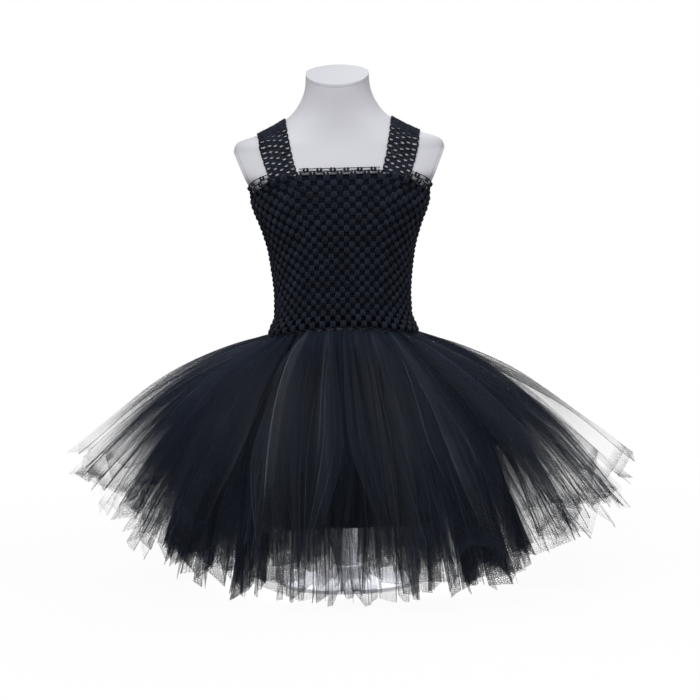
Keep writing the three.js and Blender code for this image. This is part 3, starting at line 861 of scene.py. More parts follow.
@dataclass
class DressForm:
    """The limbless body with its three plates, its pole and its round base."""

    around: int = 144
    row_step: float = 3.2
    neck_y: float = -7.0
    neck_z: float = 686.0
    neck_tilt_degrees: float = 16.0
    cap: float = 4.0
    arm_x: float = 119.7
    arm_z: float = 539.0
    arm_lean: float = 0.43
    armpit: float = 535.0
    plate: float = 4.0
    gap: float = 0.3
    edge_round: float = 1.1
    sharp_degrees: float = 40.0
    pole_radius: float = 12.5
    pole_foot: float = 6.3
    pole_top: float = 199.7
    pole_edge: float = 1.0
    base_radius: float = 90.0
    base_thickness: float = 5.0
    base_edge: float = 1.5
    hub_radius: float = 20.0
    hub_top: float = 26.0
    hub_edge: float = 2.0
    hub_foot: float = 7.0
    fillet: float = 4.0
    pole_seat: float = 6.0
    lathe_sides: int = 96

    def loft(self, name: str) -> bpy.types.Object:
        """The whole body before its arms and neck are cut, closed at both ends.

        Args:
            name: the object's name.

        Returns:
            The body.
        """
        low, high = FORM_SECTIONS[0].z, FORM_SECTIONS[-1].z
        heights = np.linspace(low, high, int((high - low) / self.row_step))
        angles = np.linspace(0, TAU, self.around, endpoint=False)
        grid = FORM.point(angles[None, :], 0.0, heights[:, None])
        made = new_object(name, grid, grid_faces(len(heights), self.around, True))
        mesh = bmesh.new()
        mesh.from_mesh(made.data)
        mesh.verts.ensure_lookup_table()
        for first in (0, (len(heights) - 1) * self.around):
            ring = [mesh.verts[first + i] for i in range(self.around)]
            mesh.faces.new(ring if first else ring[::-1])
        bmesh.ops.recalc_face_normals(mesh, faces=mesh.faces)
        mesh.to_mesh(made.data)
        mesh.free()
        return made

    def cut(self, obj: bpy.types.Object, at: Vector, normal: Vector, above: float = 0.0) -> None:
        """Cuts away what lies on a plane's outer side and closes the cut.

        Args:
            obj: the object to cut.
            at: a point of the plane, in millimetres.
            normal: the side that goes.
            above: only what is higher than this is cut.
        """
        mesh = bmesh.new()
        mesh.from_mesh(obj.data)
        part = [f for f in mesh.faces if min(v.co.z for v in f.verts) >= above * MM]
        geometry = list({*part, *(e for f in part for e in f.edges), *(v for f in part for v in f.verts)})
        done = bmesh.ops.bisect_plane(
            mesh, geom=geometry, dist=1e-7, plane_co=at * MM, plane_no=normal, clear_outer=True,
        )
        edges = [e for e in done["geom_cut"] if isinstance(e, bmesh.types.BMEdge)]
        bmesh.ops.holes_fill(mesh, edges=[e for e in edges if e.is_boundary], sides=0)
        left = [e for e in mesh.edges if e.is_boundary]
        if left:
            bmesh.ops.holes_fill(mesh, edges=left, sides=0)
        bmesh.ops.recalc_face_normals(mesh, faces=mesh.faces)
        mesh.to_mesh(obj.data)
        mesh.free()

    def soften(self, obj: bpy.types.Object, width: float) -> None:
        """Rounds the sharp edges of a cut piece and shades the rest smooth.

        Args:
            obj: the cut piece.
            width: how wide the rounding is.
        """
        bevel = obj.modifiers.new("Moulded edge", "BEVEL")
        bevel.width, bevel.segments, bevel.limit_method = width * MM, 3, "ANGLE"
        bevel.angle_limit = math.radians(35)
        bevel.harden_normals = False
        mesh = modified_mesh(obj)
        obj.modifiers.remove(bevel)
        obj.data = mesh
        mesh.shade_smooth()
        mesh.set_sharp_from_angle(angle=math.radians(self.sharp_degrees))

    def planes(self, side: int) -> tuple[Vector, Vector]:
        """A point of an arm's cut plane and its outward normal."""
        lean, at = math.atan(self.arm_lean), Vector((side * self.arm_x, 0, self.arm_z))
        return at, Vector((side * math.cos(lean), 0, -math.sin(lean)))

    def build(self, shop: Workshop) -> None:
        """Builds and dresses the body, its plates and its stand.

        Args:
            shop: the trees and finishes.
        """
        tilt = math.radians(self.neck_tilt_degrees)
        neck_at = Vector((0, self.neck_y, self.neck_z))
        neck_way = Vector((0, -math.sin(tilt), math.cos(tilt)))
        torso = self.loft("form_body")
        self.cut(torso, neck_at, neck_way)
        for side in (1, -1):
            at, way = self.planes(side)
            self.cut(torso, at - way * (self.plate + self.gap), way, self.armpit - 2)
        self.soften(torso, self.edge_round)
        dress(torso, shop.shell, ["form_torso"])

        cap = self.loft("form_cap")
        self.cut(cap, neck_at + neck_way * (self.gap + self.cap), neck_way)
        self.cut(cap, neck_at + neck_way * self.gap, -neck_way)
        self.soften(cap, self.edge_round)
        dress(cap, shop.plate, ["form_neck_cap"])

        for side, label in ((1, "left"), (-1, "right")):
            at, way = self.planes(side)
            plate = self.loft(f"form_arm_disc_{label}")
            self.cut(plate, at - way * self.plate, -way)
            self.cut(plate, at, way)
            self.cut(plate, Vector((0, 0, self.armpit)), Vector((0, 0, -1)))
            self.soften(plate, self.edge_round)
            dress(plate, shop.plate, [f"form_arm_plate_{label}"])
        self.turned("form_stand_pole", self.pole_profile(), shop.paint, ["form_pole"])
        self.turned("form_stand_base", self.base_profile(), shop.paint, ["form_base"])

    def pole_profile(self) -> list[tuple[float, float]]:
        """Radius and height round the pole's outline."""
        r, low, high, edge = self.pole_radius, self.pole_foot, self.pole_top, self.pole_edge
        return [(0, low), (r - edge, low), (r, low + edge), (r, high - edge), (r - edge, high), (0, high)]

    def base_profile(self) -> list[tuple[float, float]]:
        """Radius and height round the base's outline, with rounded steps.

        Returns:
            The outline from the middle of the underside to the middle of the pole's seat.
        """
        def rounded(radius: float, height: float, size: float, points: int = 5) -> list[tuple[float, float]]:
            """A quarter round that ends at a height and starts at a radius."""
            turns = np.linspace(0, math.pi / 2, points)
            return [(radius - size + size * math.cos(a), height - size + size * math.sin(a)) for a in turns]

        rim = rounded(self.base_radius, self.base_thickness, self.base_edge)
        hub = rounded(self.hub_radius, self.hub_top, self.hub_edge)
        size, turns = self.fillet, np.linspace(0, math.pi / 2, 6)
        fillet = [
            (self.hub_radius + size * (1 - math.sin(a)), self.hub_foot + size * (1 - math.cos(a)))
            for a in turns
        ]
        bore, seat = self.pole_radius + self.gap, self.pole_seat
        foot, socket = [(0, 0), (self.base_radius, 0)], [(bore, self.hub_top), (bore, seat), (0, seat)]
        return [*foot, *rim, *fillet, *hub, *socket]

    def turned(
        self, name: str, profile: list[tuple[float, float]], material: bpy.types.Material,
        nodes: Sequence[str],
    ) -> None:
        """A piece turned on a lathe from its outline, with closed poles.

        Args:
            name: the piece's name.
            profile: radius and height round the outline, from pole to pole.
            material: its finish.
            nodes: names of the solids that it replaces.
        """
        sides = self.lathe_sides
        radius, height = np.array(profile[1:-1]).T
        angles = np.linspace(0, TAU, sides, endpoint=False)
        ring = np.stack([
            radius[:, None] * np.cos(angles), radius[:, None] * np.sin(angles),
            np.broadcast_to(height[:, None], (len(radius), sides)),
        ], axis=-1).reshape(-1, 3)
        ends = np.array([[0, 0, profile[0][1]], [0, 0, profile[-1][1]]])
        faces: list[Sequence[int]] = list(grid_faces(len(radius), sides, True))
        last = (len(radius) - 1) * sides
        for i in range(sides):
            faces.append((len(ring), (i + 1) % sides, i))
            faces.append((len(ring) + 1, last + i, last + (i + 1) % sides))
        made = turn_faces_out(new_object(name, np.concatenate([ring, ends]), faces))
        made.data.set_sharp_from_angle(angle=math.radians(self.sharp_degrees))
        dress(made, material, nodes)


# ---------------------------------------------------------------- stitches

@dataclass(frozen=True)
class ShellStitch:
    """One crocheted shell: fat loops of yarn side by side over a chain that leads to the next."""

    width: float = 9.6
    height: float = 8.8
    bulge: float = 2.2
    yarn: float = 1.45
    loops: int = 3
    segments: int = 4
    sides: int = 5
    chain: float = 16.1

    def tube(self, path: Array, radius: Array) -> tuple[Array, list[Sequence[int]]]:
        """A closed tube of a few flat sides along a path.

        Args:
            path: points of the tube's middle.
            radius: the tube's radius at each point.

        Returns:
            The tube's points and faces.
        """
        tangent = unit(np.gradient(path, axis=0))
        side = unit(np.cross(tangent, np.array([0.13, 0.21, 1.0])))
        other = np.cross(tangent, side)
        turn = np.linspace(0, TAU, self.sides, endpoint=False)
        rings = path[:, None] + radius[:, None, None] * (
            np.cos(turn)[None, :, None] * side[:, None] + np.sin(turn)[None, :, None] * other[:, None]
        )
        faces: list[Sequence[int]] = list(grid_faces(len(path), self.sides, True))
        faces.append(tuple(range(self.sides))[::-1])
        faces.append(tuple((len(path) - 1) * self.sides + i for i in range(self.sides)))
        return rings.reshape(-1, 3), faces

    def build(self, name: str, with_chain: bool = True) -> bpy.types.Object:
        """The stitch as one small mesh, standing on its middle, facing +Z with its head at +Y.

        Args:
            name: the object's name.
            with_chain: whether the chain under the loops is made too.

        Returns:
            The stitch.
        """
        points, faces, count = [], [], 0
        t = np.linspace(0, 1, self.segments + 1)
        paths = []
        for k in range(self.loops):
            lean = (k - (self.loops - 1) / 2) / max(1, (self.loops - 1) / 2)
            # The loops start close together, spread in the middle and end a little apart.
            spread = (0.13 + 0.17 * np.sin(math.pi * t) + 0.04 * t) * self.width
            paths.append((np.stack([
                lean * spread,
                (t - 0.5) * (self.height + self.yarn),
                self.bulge * np.sin(math.pi * t) ** 0.8 * (1 - 0.25 * abs(lean)),
            ], axis=-1), self.yarn * (0.72 + 0.35 * np.sin(math.pi * t))))
        if with_chain:
            s = np.linspace(-0.5, 0.5, 4)
            paths.append((np.stack([
                s * self.chain, -0.5 * self.height + 1.2 * np.cos(s * math.pi * 2), 0 * s - 0.2,
            ], axis=-1), np.full(4, self.yarn * 0.75)))
        for path, radius in paths:
            ring, quads = self.tube(path, radius)
            points.append(ring)
            faces.extend(tuple(i + count for i in q) for q in quads)
            count += len(ring)
        return turn_faces_out(new_object(name, np.concatenate(points), faces))


@dataclass(frozen=True)
class EyeletStitch:
    """A small crocheted cell: yarn worked round one oval gap, with its loops as ridges."""

    width: float = 7.4
    height: float = 8.7
    gap_width: float = 5.4
    gap_height: float = 2.8
    rise: float = 1.2
    overlap: float = 0.35
    around: int = 24
    rings: int = 5
    loops: int = 8
    ridge: float = 0.28
    corner: float = 0.55
    back: float = -0.4

    def build(self, name: str) -> bpy.types.Object:
        """The cell as one small closed ring of yarn, facing +Z with its head at +Y.

        Args:
            name: the object's name.

        Returns:
            The cell.
        """
        turn = np.linspace(0, TAU, self.around, endpoint=False)
        gap = np.stack([self.gap_width / 2 * np.cos(turn), self.gap_height / 2 * np.sin(turn)], axis=-1)
        half = np.array([self.width, self.height]) / 2 + self.overlap
        corner = self.corner
        cell = [signed_power(np.cos(turn), corner), signed_power(np.sin(turn), corner)]
        cell = np.stack(cell, axis=-1) * half
        share = np.linspace(0, 1, self.rings)[:, None]
        front = blend(gap, cell, share[..., None])
        ridges = 1 + self.ridge * np.cos(self.loops * turn)[None, :]
        height = self.rise * np.sin(math.pi * (0.10 + 0.84 * share)) * ridges
        rings = [np.concatenate([flat, z[:, None]], axis=-1) for flat, z in zip(front, height)]
        low = np.full((self.around, 1), self.back)
        rings += [np.concatenate([cell * 0.96, low], axis=-1), np.concatenate([gap * 1.08, low], axis=-1)]
        total = len(rings) * self.around
        faces = [[i % total for i in face] for face in grid_faces(len(rings) + 1, self.around, True)]
        return turn_faces_out(new_object(name, np.concatenate(rings), faces))


def carrier(name: str, points: Array, facing: Array, upward: Array, size: Array) -> bpy.types.Object:
    """Loose points with the vectors that the stitch tree reads.

    Args:
        name: the carrier's name.
        points: the stitches' places in millimetres.
        facing: their outward directions.
        upward: the ways that their heads point.
        size: their scales along each axis.

    Returns:
        The carrier object.
    """
    made = new_object(name, points, [])
    for label, values in (("facing", facing), ("upward", upward), ("size", size)):
        write_attribute(made, label, values.reshape(-1, 3))
    return made


# ---------------------------------------------------------------- the bodice

@dataclass
class Waist:
    """The seam between the bodice and the skirt."""

    z: float = 342.0
    front_rise: float = 16.0
    back_rise: float = 4.0

    def height(self, angle: Any) -> Array:
        """The seam's height round the waist."""
        c = np.cos(angle)
        return self.z + np.where(c > 0, self.front_rise, self.back_rise) * c * c


WAIST = Waist()


@dataclass
class Bodice:
    """The stretched crochet tube, its lining and its open edging."""

    around: int = 40
    rows: int = 27
    top_front: float = 569.0
    top_underarm: float = 541.5
    top_back: float = 557.0
    dip_start_degrees: float = 28.0
    edging: float = 9.4
    cluster_step: float = 18.5
    lining_out: float = 1.9
    stitch_out: float = 2.1
    flare: float = 5.0
    flare_height: float = 26.0
    strap_inner: float = 54.0
    strap_outer: float = 94.0
    edge_out: float = 3.4
    edge_rows: tuple[float, float] = (0.20, 0.72)
    edge_flat: float = 0.0101
    edge_stitch: ShellStitch = ShellStitch(width=17.0, height=3.0, bulge=1.3, yarn=1.7, loops=2)
    chain_ply: float = 0.50
    thread_ply: float = 0.40
    lining_radius: float = 95.0
    lining_height: float = 195.0

    def top(self, angle: Any) -> Array:
        """The height of the top edge.

        Args:
            angle: angles round the axis.

        Returns:
            The heights.
        """
        turn = np.arcsin(np.clip(np.abs(np.sin(angle)), 0, 1))
        start = math.radians(self.dip_start_degrees)
        t = np.clip((turn - start) / (math.pi / 2 - start), 0, 1)
        middle = np.where(np.cos(angle) > 0, self.top_front, self.top_back)
        return blend(middle, self.top_underarm, np.sin(t * math.pi / 2))

    def place(self, out: float, flared: bool = True) -> Place:
        """The bodice's surface at a distance out.

        Args:
            out: the distance from the form.
            flared: whether the foot flares over the skirt's knots.

        Returns:
            A function that gives points from angles and shares of the crochet's height.
        """
        def at(angle: Array, share: Array) -> Array:
            """Points at angles and shares of the crochet's height.

            Args:
                angle: angles round the axis.
                share: shares of the height.

            Returns:
                The points.
            """
            low = WAIST.height(angle)
            z = blend(low, self.top(angle) - self.edging, share)
            spread = self.flare * (1 - smooth((z - low) / self.flare_height)) if flared else 0.0
            return FORM.point(angle, out + spread, z)
        return at

    def lining(self, shop: Workshop) -> None:
        """A thin knitted tube inside the crochet.

        Args:
            shop: the trees and finishes.
        """
        columns, rows = 128, 34
        angles = np.linspace(0, TAU, columns, endpoint=False)
        shares = np.linspace(0, 1, rows)
        grid = self.place(self.lining_out, flared=False)(angles[None, :], shares[:, None])
        made = new_object("bodice_lining_knit", grid, grid_faces(rows, columns, True))
        girth, height = angles[None, :] * self.lining_radius * MM, shares[:, None] * self.lining_height * MM
        write_uv(made, np.stack(np.broadcast_arrays(girth, height), axis=-1).reshape(-1, 2))
        dress(made, shop.knit, ["bodice_lining"])

    def shells(self, shop: Workshop) -> None:
        """Rows of shell stitches, each row half a stitch along.

        Args:
            shop: the trees and finishes.
        """
        row, column = np.meshgrid(np.arange(self.rows), np.arange(self.around), indexing="ij")
        share = (row + 0.5) / self.rows
        turn = (column + 0.5 * (row % 2)) / self.around
        side_z = blend(WAIST.z, self.top_underarm - self.edging, share[:, 0])
        angle = np.stack([FORM.even_angle(z, t) for z, t in zip(side_z, turn)])
        points, facing, upward = surface_frame(self.place(self.stitch_out), angle, share)
        ring = np.linalg.norm(np.roll(points, -1, axis=1) - points, axis=-1)
        size = np.stack([ring / ShellStitch.chain, np.full_like(ring, 0.90), np.ones_like(ring)], axis=-1)
        stitch = ShellStitch().build("stitch")
        places = carrier("shells", points, facing, upward, size)
        made = shop.run("bodice_crochet_shells", places, Tree.STITCHES, {
            "Stitch": stitch, "Tilt": 0.10, "Size change": 0.05, "Seed": 7, "Finish": shop.yarn,
        })
        bpy.data.objects.remove(stitch)
        dress(made, shop.yarn, ["bodice_crochet"])

    def build(self, shop: Workshop) -> None:
        """Builds the lining, the shells and the edging.

        Args:
            shop: the trees and finishes.
        """
        self.lining(shop)
        self.shells(shop)
        self.edging_rows(shop)

    def edge_angle(self, x: float, back: bool) -> float:
        """The angle at which the edging's middle reaches a sideways place.

        Args:
            x: the sideways place.
            back: whether it is looked for behind.

        Returns:
            The angle.
        """
        turns = np.linspace(0, math.pi / 2, 400)
        angles = math.pi - turns if back else turns
        xs = FORM.point(angles, self.edge_out, self.top(angles) - self.edging / 2)[:, 0]
        return float(angles[int(np.argmax(xs >= x))])

    def edging_rows(self, shop: Workshop) -> None:
        """Two open rows of small shells with a thread along the top, in four stretches between the straps.

        Args:
            shop: the trees and finishes.
        """
        inner = [self.edge_angle(self.strap_inner, back) for back in (False, True)]
        outer = [self.edge_angle(self.strap_outer, back) for back in (False, True)]
        stretches = {
            "front": (-inner[0], inner[0]), "back": (inner[1], TAU - inner[1]),
            "left": (outer[0], outer[1]), "right": (TAU - outer[1], TAU - outer[0]),
        }
        for number, (name, (start, end)) in enumerate(stretches.items()):
            self.edging_stretch(shop, name, start, end, number)

    def edging_stretch(self, shop: Workshop, name: str, start: float, end: float, number: int) -> None:
        """One stretch of the edging, as one piece.

        Args:
            shop: the trees and finishes.
            name: the stretch's name.
            start: the angle where it starts.
            end: the angle where it ends.
            number: the stretch's number, for its own uneven hand.
        """
        def at(angle: Array, share: Array) -> Array:
            """Points of the edging at angles and shares of its height."""
            return FORM.point(angle, self.edge_out - 0.1, self.top(angle) - self.edging * (1 - share))

        fine = np.linspace(start, end, 200)
        run = at(fine, np.full_like(fine, 0.5))
        length = np.concatenate([[0], np.cumsum(np.linalg.norm(np.diff(run, axis=0), axis=1))])
        count = max(2, round(length[-1] / self.cluster_step))
        angles, shares = [], []
        for row, shift in ((0, 0.0), (1, 0.5)):
            places = (np.arange(count + 1 - row) + shift) / count
            angles.append(np.interp(places * length[-1], length, fine))
            shares.append(np.full(len(places), self.edge_rows[row]))
        angle, share = np.concatenate(angles), np.concatenate(shares)
        points, facing, upward = surface_frame(at, angle, share)
        size = np.tile([1.0, 1.0, 0.6], (len(angle), 1))
        stitch = self.edge_stitch.build("stitch", with_chain=False)
        places = carrier("edge", points, facing, upward, size)
        made = shop.run(f"edging_shells_{name}", places, Tree.STITCHES, {
            "Stitch": stitch, "Tilt": 0.16, "Size change": 0.08, "Seed": 20 + number, "Finish": shop.yarn,
        })
        bpy.data.objects.remove(stitch)
        steps = int(length[-1] / 2)
        along = np.interp(np.linspace(0, length[-1], steps), length, fine)
        wave = np.linspace(0, length[-1], steps) / self.cluster_step * TAU
        chains = [at(along, np.full(steps, 0.03)), at(along, 0.46 + 0.05 * np.cos(wave))]
        joined = join(made, [
            self.yarn_lines(shop, "edge_chain", chains, self.chain_ply),
            self.yarn_lines(shop, "edge_thread", [at(along, np.full(steps, 0.90))], self.thread_ply),
        ])
        dress(joined, shop.yarn, [f"edging_{name}"])

    @staticmethod
    def yarn_lines(shop: Workshop, name: str, lines: Sequence[Array], ply: float) -> bpy.types.Object:
        """Twisted yarn along some lines of points.

        Args:
            shop: the trees and finishes.
            name: the yarn's name.
            lines: the points of each line.
            ply: the radius of one ply.

        Returns:
            The yarn.
        """
        points = np.concatenate(lines)
        edges, first = [], 0
        for line in lines:
            edges.extend((first + i, first + i + 1) for i in range(len(line) - 1))
            first += len(line)
        path = new_object(name, points, [], edges)
        return shop.run(name, path, Tree.YARN, {
            "Ply radius": ply * MM, "Twist pitch": 9 * ply * MM, "Step": 2.2 * ply * MM, "Sides": 5,
            "Finish": shop.yarn,
        })


def join(first: bpy.types.Object, others: Sequence[bpy.types.Object]) -> bpy.types.Object:
    """Joins some plain mesh objects into the first.

    Args:
        first: the object that is kept.
        others: the objects that go into it.

    Returns:
        The first object.
    """
    mesh = bmesh.new()
    for obj in (first, *others):
        mesh.from_mesh(obj.data)
    mesh.to_mesh(first.data)
    mesh.free()
    for obj in others:
        bpy.data.objects.remove(obj)
    return first


# ---------------------------------------------------------------- the straps

@dataclass
class Strap:
    """An open crochet band over one shoulder."""

    bodice: Bodice
    width: float = 38.0
    end_x: float = 74.0
    top_shift: float = 15.0
    pivot_z: float = 540.0
    search_radius: float = 140.0
    halvings: int = 30
    wall: float = 1.4
    columns: int = 5
    cell: EyeletStitch = EyeletStitch()
    length: float = 0.0

    def surface(self, x: Array, turn: Array) -> Array:
        """Points of the shoulder in upright planes, by their turn about the chest.

        Args:
            x: where each plane stands.
            turn: the turn from the front over the top.

        Returns:
            The points, found by halving the way to the form's surface.
        """
        low, high = np.zeros_like(turn), np.full_like(turn, self.search_radius)
        for _ in range(self.halvings):
            r = (low + high) / 2
            p = np.stack([x, -r * np.cos(turn), self.pivot_z + r * np.sin(turn)], axis=-1)
            inside = FORM.field(p) < 1
            low, high = np.where(inside, r, low), np.where(inside, high, r)
        return np.stack([x, -low * np.cos(turn), self.pivot_z + low * np.sin(turn)], axis=-1)

    def foot_turn(self, x: Array, back: bool) -> Array:
        """The turn at which the band meets the bodice's top edge.

        Args:
            x: places across.
            back: whether it is the band's back end.

        Returns:
            A turn for each place.
        """
        turns = np.linspace(0, math.pi / 2, 160)
        turns = math.pi - turns if back else turns
        edge = FORM.point(turns, self.bodice.edge_out, self.bodice.top(turns) - self.bodice.edging)
        heights = np.interp(x, edge[:, 0], edge[:, 2])
        grid = self.surface(np.repeat(x[:, None], len(turns), 1), np.repeat(turns[None, :], len(x), 0))
        return turns[np.argmax(grid[..., 2] >= heights[:, None], axis=1)]

    def band(self) -> Place:
        """Lays the band's middle surface and measures its length.

        Returns:
            A function that gives points from places across and shares of the length.
        """
        shares = np.linspace(0, 1, 90)
        across = np.linspace(-self.width / 2, self.width / 2, 13)
        middle = self.end_x + self.top_shift * np.sin(math.pi * shares)
        x = middle[:, None] + across[None, :]
        front = np.stack([self.foot_turn(x[:, j], False) for j in range(len(across))], axis=1)
        back = np.stack([self.foot_turn(x[:, j], True) for j in range(len(across))], axis=1)
        turn = blend(front, back, shares[:, None])
        grid = self.surface(x, turn)
        grid = grid + FORM.normal(grid) * self.wall
        centre = grid[:, len(across) // 2]
        run = np.concatenate([[0], np.cumsum(np.linalg.norm(np.diff(centre, axis=0), axis=1))])
        self.length = float(run[-1])
        even = np.interp(np.linspace(0, 1, len(shares)) * run[-1], run, shares)
        rows = np.interp(even, shares, np.arange(len(shares)))
        low = np.floor(rows).astype(int).clip(0, len(shares) - 2)
        grid = blend(grid[low], grid[low + 1], (rows - low)[:, None, None])

        def at(u: Array, v: Array) -> Array:
            """Points of the band, read from its grid.

            Args:
                u: places across.
                v: shares of the length.

            Returns:
                The points.
            """
            r = np.clip(v, 0, 1) * (len(shares) - 1)
            c = (u / self.width + 0.5) * (len(across) - 1)
            i = np.floor(r).astype(int).clip(0, len(shares) - 2)
            j = np.floor(c).astype(int).clip(0, len(across) - 2)
            fr, fc = (r - i)[..., None], (c - j)[..., None]
            before = blend(grid[i, j], grid[i, j + 1], fc)
            after = blend(grid[i + 1, j], grid[i + 1, j + 1], fc)
            return blend(before, after, fr)
        return at

    def build(self, shop: Workshop, name: str, hand: int) -> None:
        """Builds one strap: staggered columns of cells, each with its gap.

        Args:
            shop: the trees and finishes.
            name: the strap's name.
            hand: 1 on the wearer's left and -1 on the right.
        """
        at = self.band()
        mirror = np.array([hand, 1, 1])
        count = round(self.length / self.cell.height)
        us, vs = [], []
        for k in range(self.columns):
            places = (np.arange(count + 1) + (0.5 if k % 2 else 0.0)) / count
            places = places[places <= 1.0]
            us.append(np.full(len(places), (k - (self.columns - 1) / 2) * self.cell.width))
            vs.append(places)
        u, v = np.concatenate(us), np.concatenate(vs)
        points = at(u, v)
        along = unit(at(u, np.minimum(v + 0.01, 1)) - at(u, np.maximum(v - 0.01, 0)))
        facing = unit(np.cross(unit(at(u + 0.5, v) - at(u - 0.5, v)), along))
        outward = np.sum(facing * (points - np.array([self.end_x, 0, self.pivot_z])), axis=-1, keepdims=True)
        facing = facing * np.where(outward < 0, -1, 1)
        spread = np.linalg.norm(at(u + 0.5, v) - at(u - 0.5, v), axis=-1)
        size = np.stack([spread, np.ones_like(spread), np.ones_like(spread)], axis=-1)
        stitch = self.cell.build("stitch")
        cells = carrier("cells", points * mirror, facing * mirror, along * mirror, size)
        made = shop.run(f"strap_crochet_{name}", cells, Tree.STITCHES, {
            "Stitch": stitch, "Tilt": 0.09, "Size change": 0.05, "Seed": 40 + hand, "Finish": shop.yarn,
        })
        bpy.data.objects.remove(stitch)
        dress(made, shop.yarn, [f"strap_{name}"])


# ---------------------------------------------------------------- the skirt

@dataclass
class SkirtLining:
    """The opaque satin tube under the tulle."""

    hips: float = 251.0
    hem: float = 89.0
    hem_dip: float = 2.5
    hem_width: float = 115.0
    hem_front: float = 97.0
    hem_back: float = 108.0
    wave: float = 3.5
    crumple: float = 0.7
    slack: float = 2.0
    slack_from: float = 320.0
    out: float = 1.0
    thickness: float = 0.6
    flat_radius: float = 105.0
    flat_height: float = 255.0

    def build(self, shop: Workshop) -> None:
        """A thin tube with soft flutes that deepen to its hem.

        Args:
            shop: the trees and finishes.
        """
        columns, rows = 192, 44
        angle = np.linspace(0, TAU, columns, endpoint=False)[None, :]
        share = np.linspace(0, 1, rows)[:, None]
        top = WAIST.height(angle) - 0.3
        z = blend(top, self.hem + self.hem_dip * np.sin(3 * angle + 1.2), share)
        drop = np.clip((self.hips - z) / (self.hips - self.hem), 0, 1)
        section = FORM.sections(np.maximum(z, self.hips))
        hem = np.array([self.hem_width, self.hem_front, self.hem_back, 2.3])
        section = np.where(drop[..., None] > 0, blend(section, hem, drop[..., None]), section)
        waves = self.wave * drop * (np.sin(7 * angle + 0.6) + 0.6 * np.sin(11 * angle + 2))
        slack = self.slack * smooth((self.slack_from - z) / 60)
        crumple = self.crumple * drop * np.sin(23 * angle + 5 * share + 1.0) * smooth(share * 2)
        grid = FORM.on_section(section, angle, self.out + waves + slack + crumple, z)
        made = new_object("skirt_lining_satin", grid, grid_faces(rows, columns, True))
        girth, height = angle * self.flat_radius * MM, -share * self.flat_height * MM
        write_uv(made, np.stack(np.broadcast_arrays(girth, height), axis=-1).reshape(-1, 2))
        solid = made.modifiers.new("Cloth thickness", "SOLIDIFY")
        solid.thickness, solid.offset = self.thickness * MM, 0.0
        mesh = modified_mesh(made)
        made.modifiers.remove(solid)
        made.data = mesh
        dress(made, shop.satin, ["skirt_lining"])


@dataclass(frozen=True)
class Tier:
    """One tier of tulle strips.

    It has the roots' distance from the form and below the seam, the strips' length, the slopes in degrees
    below level, at the sides and in front, and what is trimmed off or added from side to side.
    """

    name: str
    band: float
    foot: float
    length: float
    root_side: float
    end_side: float
    root_front: float
    end_front: float
    trim: float
    sway: float


TIERS = (
    Tier("top", 5.6, 3.0, 349, 9, 42.3, 24, 68, 0, 20),
    Tier("middle", 3.9, 6.0, 344, 26, 57, 42, 76, 6, 6),
    Tier("lower", 2.2, 9.5, 350, 42, 69, 60, 80, 2, 4),
)


class MainFold(NamedTuple):
    """A long fold with a painted highlight: its strip, its place across, how bright the highlight is and how
    long it is.
    """

    strip: int
    across: float
    shine: float
    reach: float


MAIN_FOLDS = (
    MainFold(22, 0.10, 0.85, 0.75),
    MainFold(21, -0.25, 0.8, 0.55),
    MainFold(20, 0.30, 0.75, 0.50),
    MainFold(19, 0.45, 0.9, 0.40),
    MainFold(19, -0.35, 0.7, 0.60),
    MainFold(23, 0.35, 0.45, 0.50),
    MainFold(0, 0.00, 0.60, 0.90),
    MainFold(0, 0.22, 0.30, 0.80),
    MainFold(1, -0.20, 0.7, 0.55),
    MainFold(2, -0.45, 0.80, 0.80),
    MainFold(2, 0.30, 0.55, 0.60),
    MainFold(3, 0.10, 0.75, 0.35),
    MainFold(4, 0.20, 0.6, 0.5),
)


class Lay(NamedTuple):
    """What a layer's steps share.

    It has the tier and its number, the layer, the angle of its middle, how far round the side it hangs, its
    folds' places, its shares across and down, and for each share across the nearest fold and whether it lies
    on it.
    """

    tier: Tier
    number: int
    layer: int
    middle: float
    at_side: float
    places: Array
    u: Array
    v: Array
    which: Array
    on_fold: Array


class Sheet(NamedTuple):
    """One layer of a strip: points, the form's direction, flat places, cover and painted fold highlight, rows
    first.
    """

    points: Array
    form: Array
    uv: Array
    cover: Array
    shine: Array


